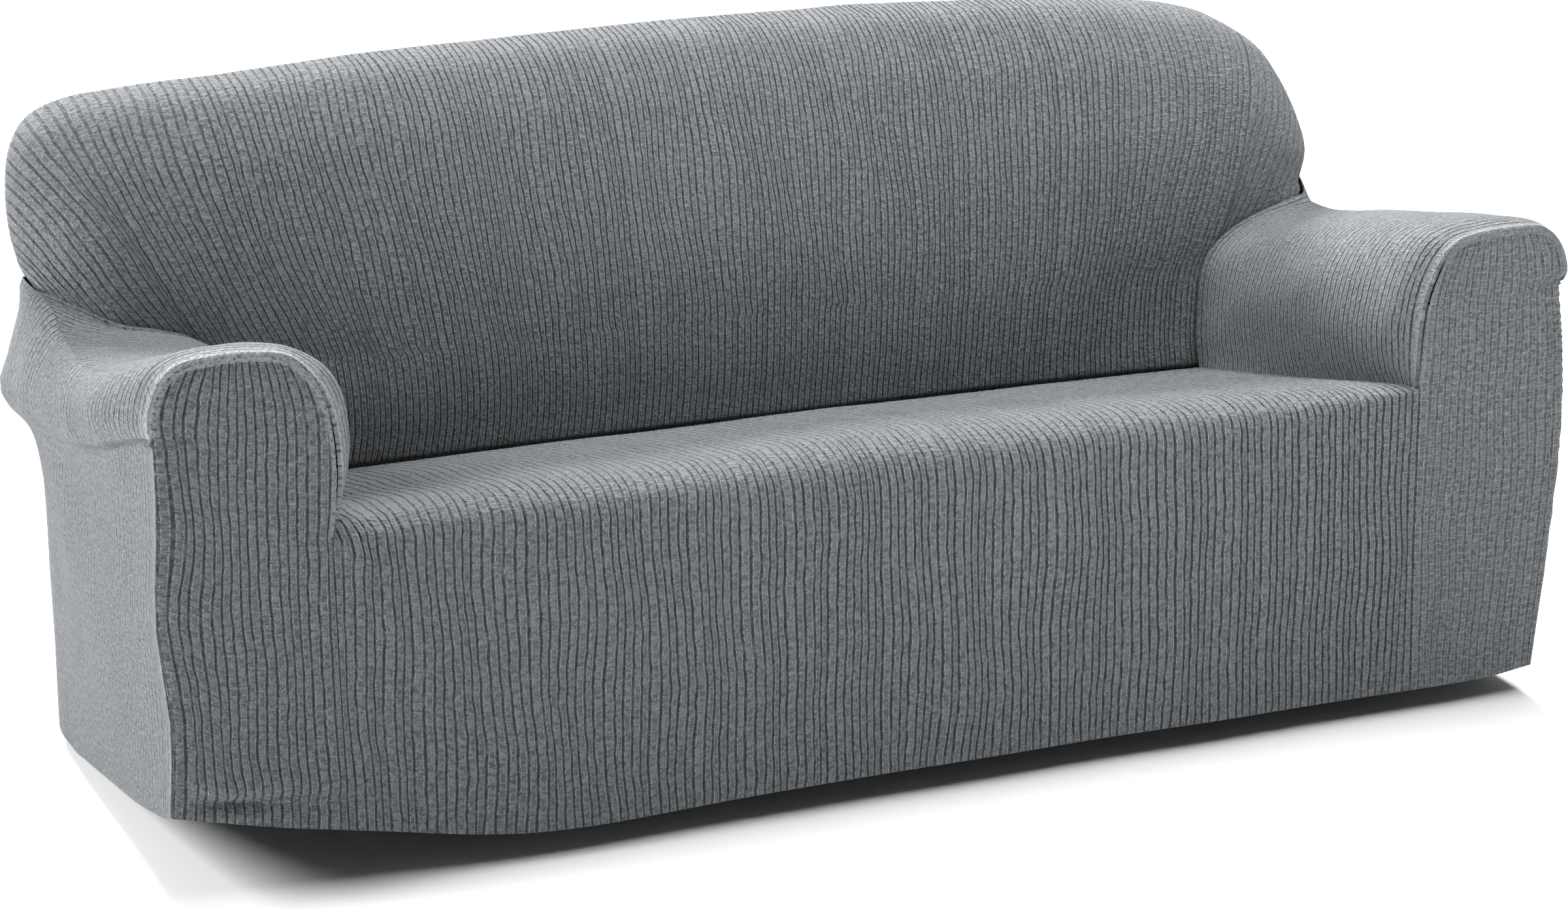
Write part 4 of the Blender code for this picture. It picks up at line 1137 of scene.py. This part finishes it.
def sky():
    """Soft light from all round, brighter behind the cover than in front of it."""
    world = bpy.data.worlds.new("studio")
    world.use_nodes = True
    nodes, links = world.node_tree.nodes, world.node_tree.links
    nodes["Background"].inputs[0].default_value = (*SKY_COLOUR, 1)
    parts = nodes.new("ShaderNodeSeparateXYZ")
    links.new(nodes.new("ShaderNodeTexCoord").outputs["Generated"], parts.inputs[0])
    fade = nodes.new("ShaderNodeMapRange")
    put(links, parts.outputs["Y"], fade.inputs["Value"])
    for key, value in (("From Min", -0.6), ("From Max", 0.6), ("To Min", SKY_FRONT), ("To Max", SKY_BEHIND)):
        put(links, value, fade.inputs[key])
    links.new(fade.outputs["Result"], nodes["Background"].inputs[1])
    bpy.context.scene.world = world


def lights():
    """The lamps of the studio."""
    for name, kind, at, target, size, power, spread in LIGHTS:
        light = bpy.data.lights.new(name, kind)
        if kind == "SUN":
            light.angle = np.radians(size)
        else:
            light.size = size
            light.spread = np.radians(spread)
        light.energy = power
        lamp = placed(name, light)
        lamp.location = at
        lamp.rotation_mode = "QUATERNION"
        lamp.rotation_quaternion = (Vector(target) - Vector(at)).to_track_quat("-Z", "Y")


def camera():
    """The photograph's viewpoint."""
    back = np.array([
        np.sin(AZIMUTH) * np.cos(ELEVATION), -np.cos(AZIMUTH) * np.cos(ELEVATION), np.sin(ELEVATION),
    ])
    right = np.cross([0, 0, 1], back)
    right /= np.linalg.norm(right)
    up = np.cross(back, right)
    right, up = np.cos(ROLL) * right + np.sin(ROLL) * up, np.cos(ROLL) * up - np.sin(ROLL) * right
    data = bpy.data.cameras.new("camera")
    data.sensor_width = SENSOR
    data.lens = LENS
    made = placed("camera", data)
    made.matrix_world = Matrix([*np.stack([right, up, back, CAMERA_AT], axis=1).tolist(), [0, 0, 0, 1]])
    bpy.context.scene.camera = made


# ---------------------------------------------------------------- everything together
def main():
    """Camera and studio, then each cloth with the size, height and seed of its soft dents."""
    camera()
    floor()
    sky()
    lights()
    bpy.context.scene.view_settings.view_transform = "Standard"
    material = ribbed_cloth()
    piece = front_cloth().build(soft_dents(0.16, 0.0012, 201), material)
    piece = arm_cloth(-1, ARM_LEFT, "arm_left_cloth", "arm_left").build(soft_dents(0.13, 0.0022, 211), material)
    piece = arm_cloth(1, ARM_RIGHT, "arm_right_cloth", "arm_right").build(soft_dents(0.13, 0.0015, 221), material)
    piece = back_cloth().build(soft_dents(0.17, 0.0016, 231), material)
    piece = rear_cloth().build(soft_dents(0.20, 0.0020, 241), material)


main()
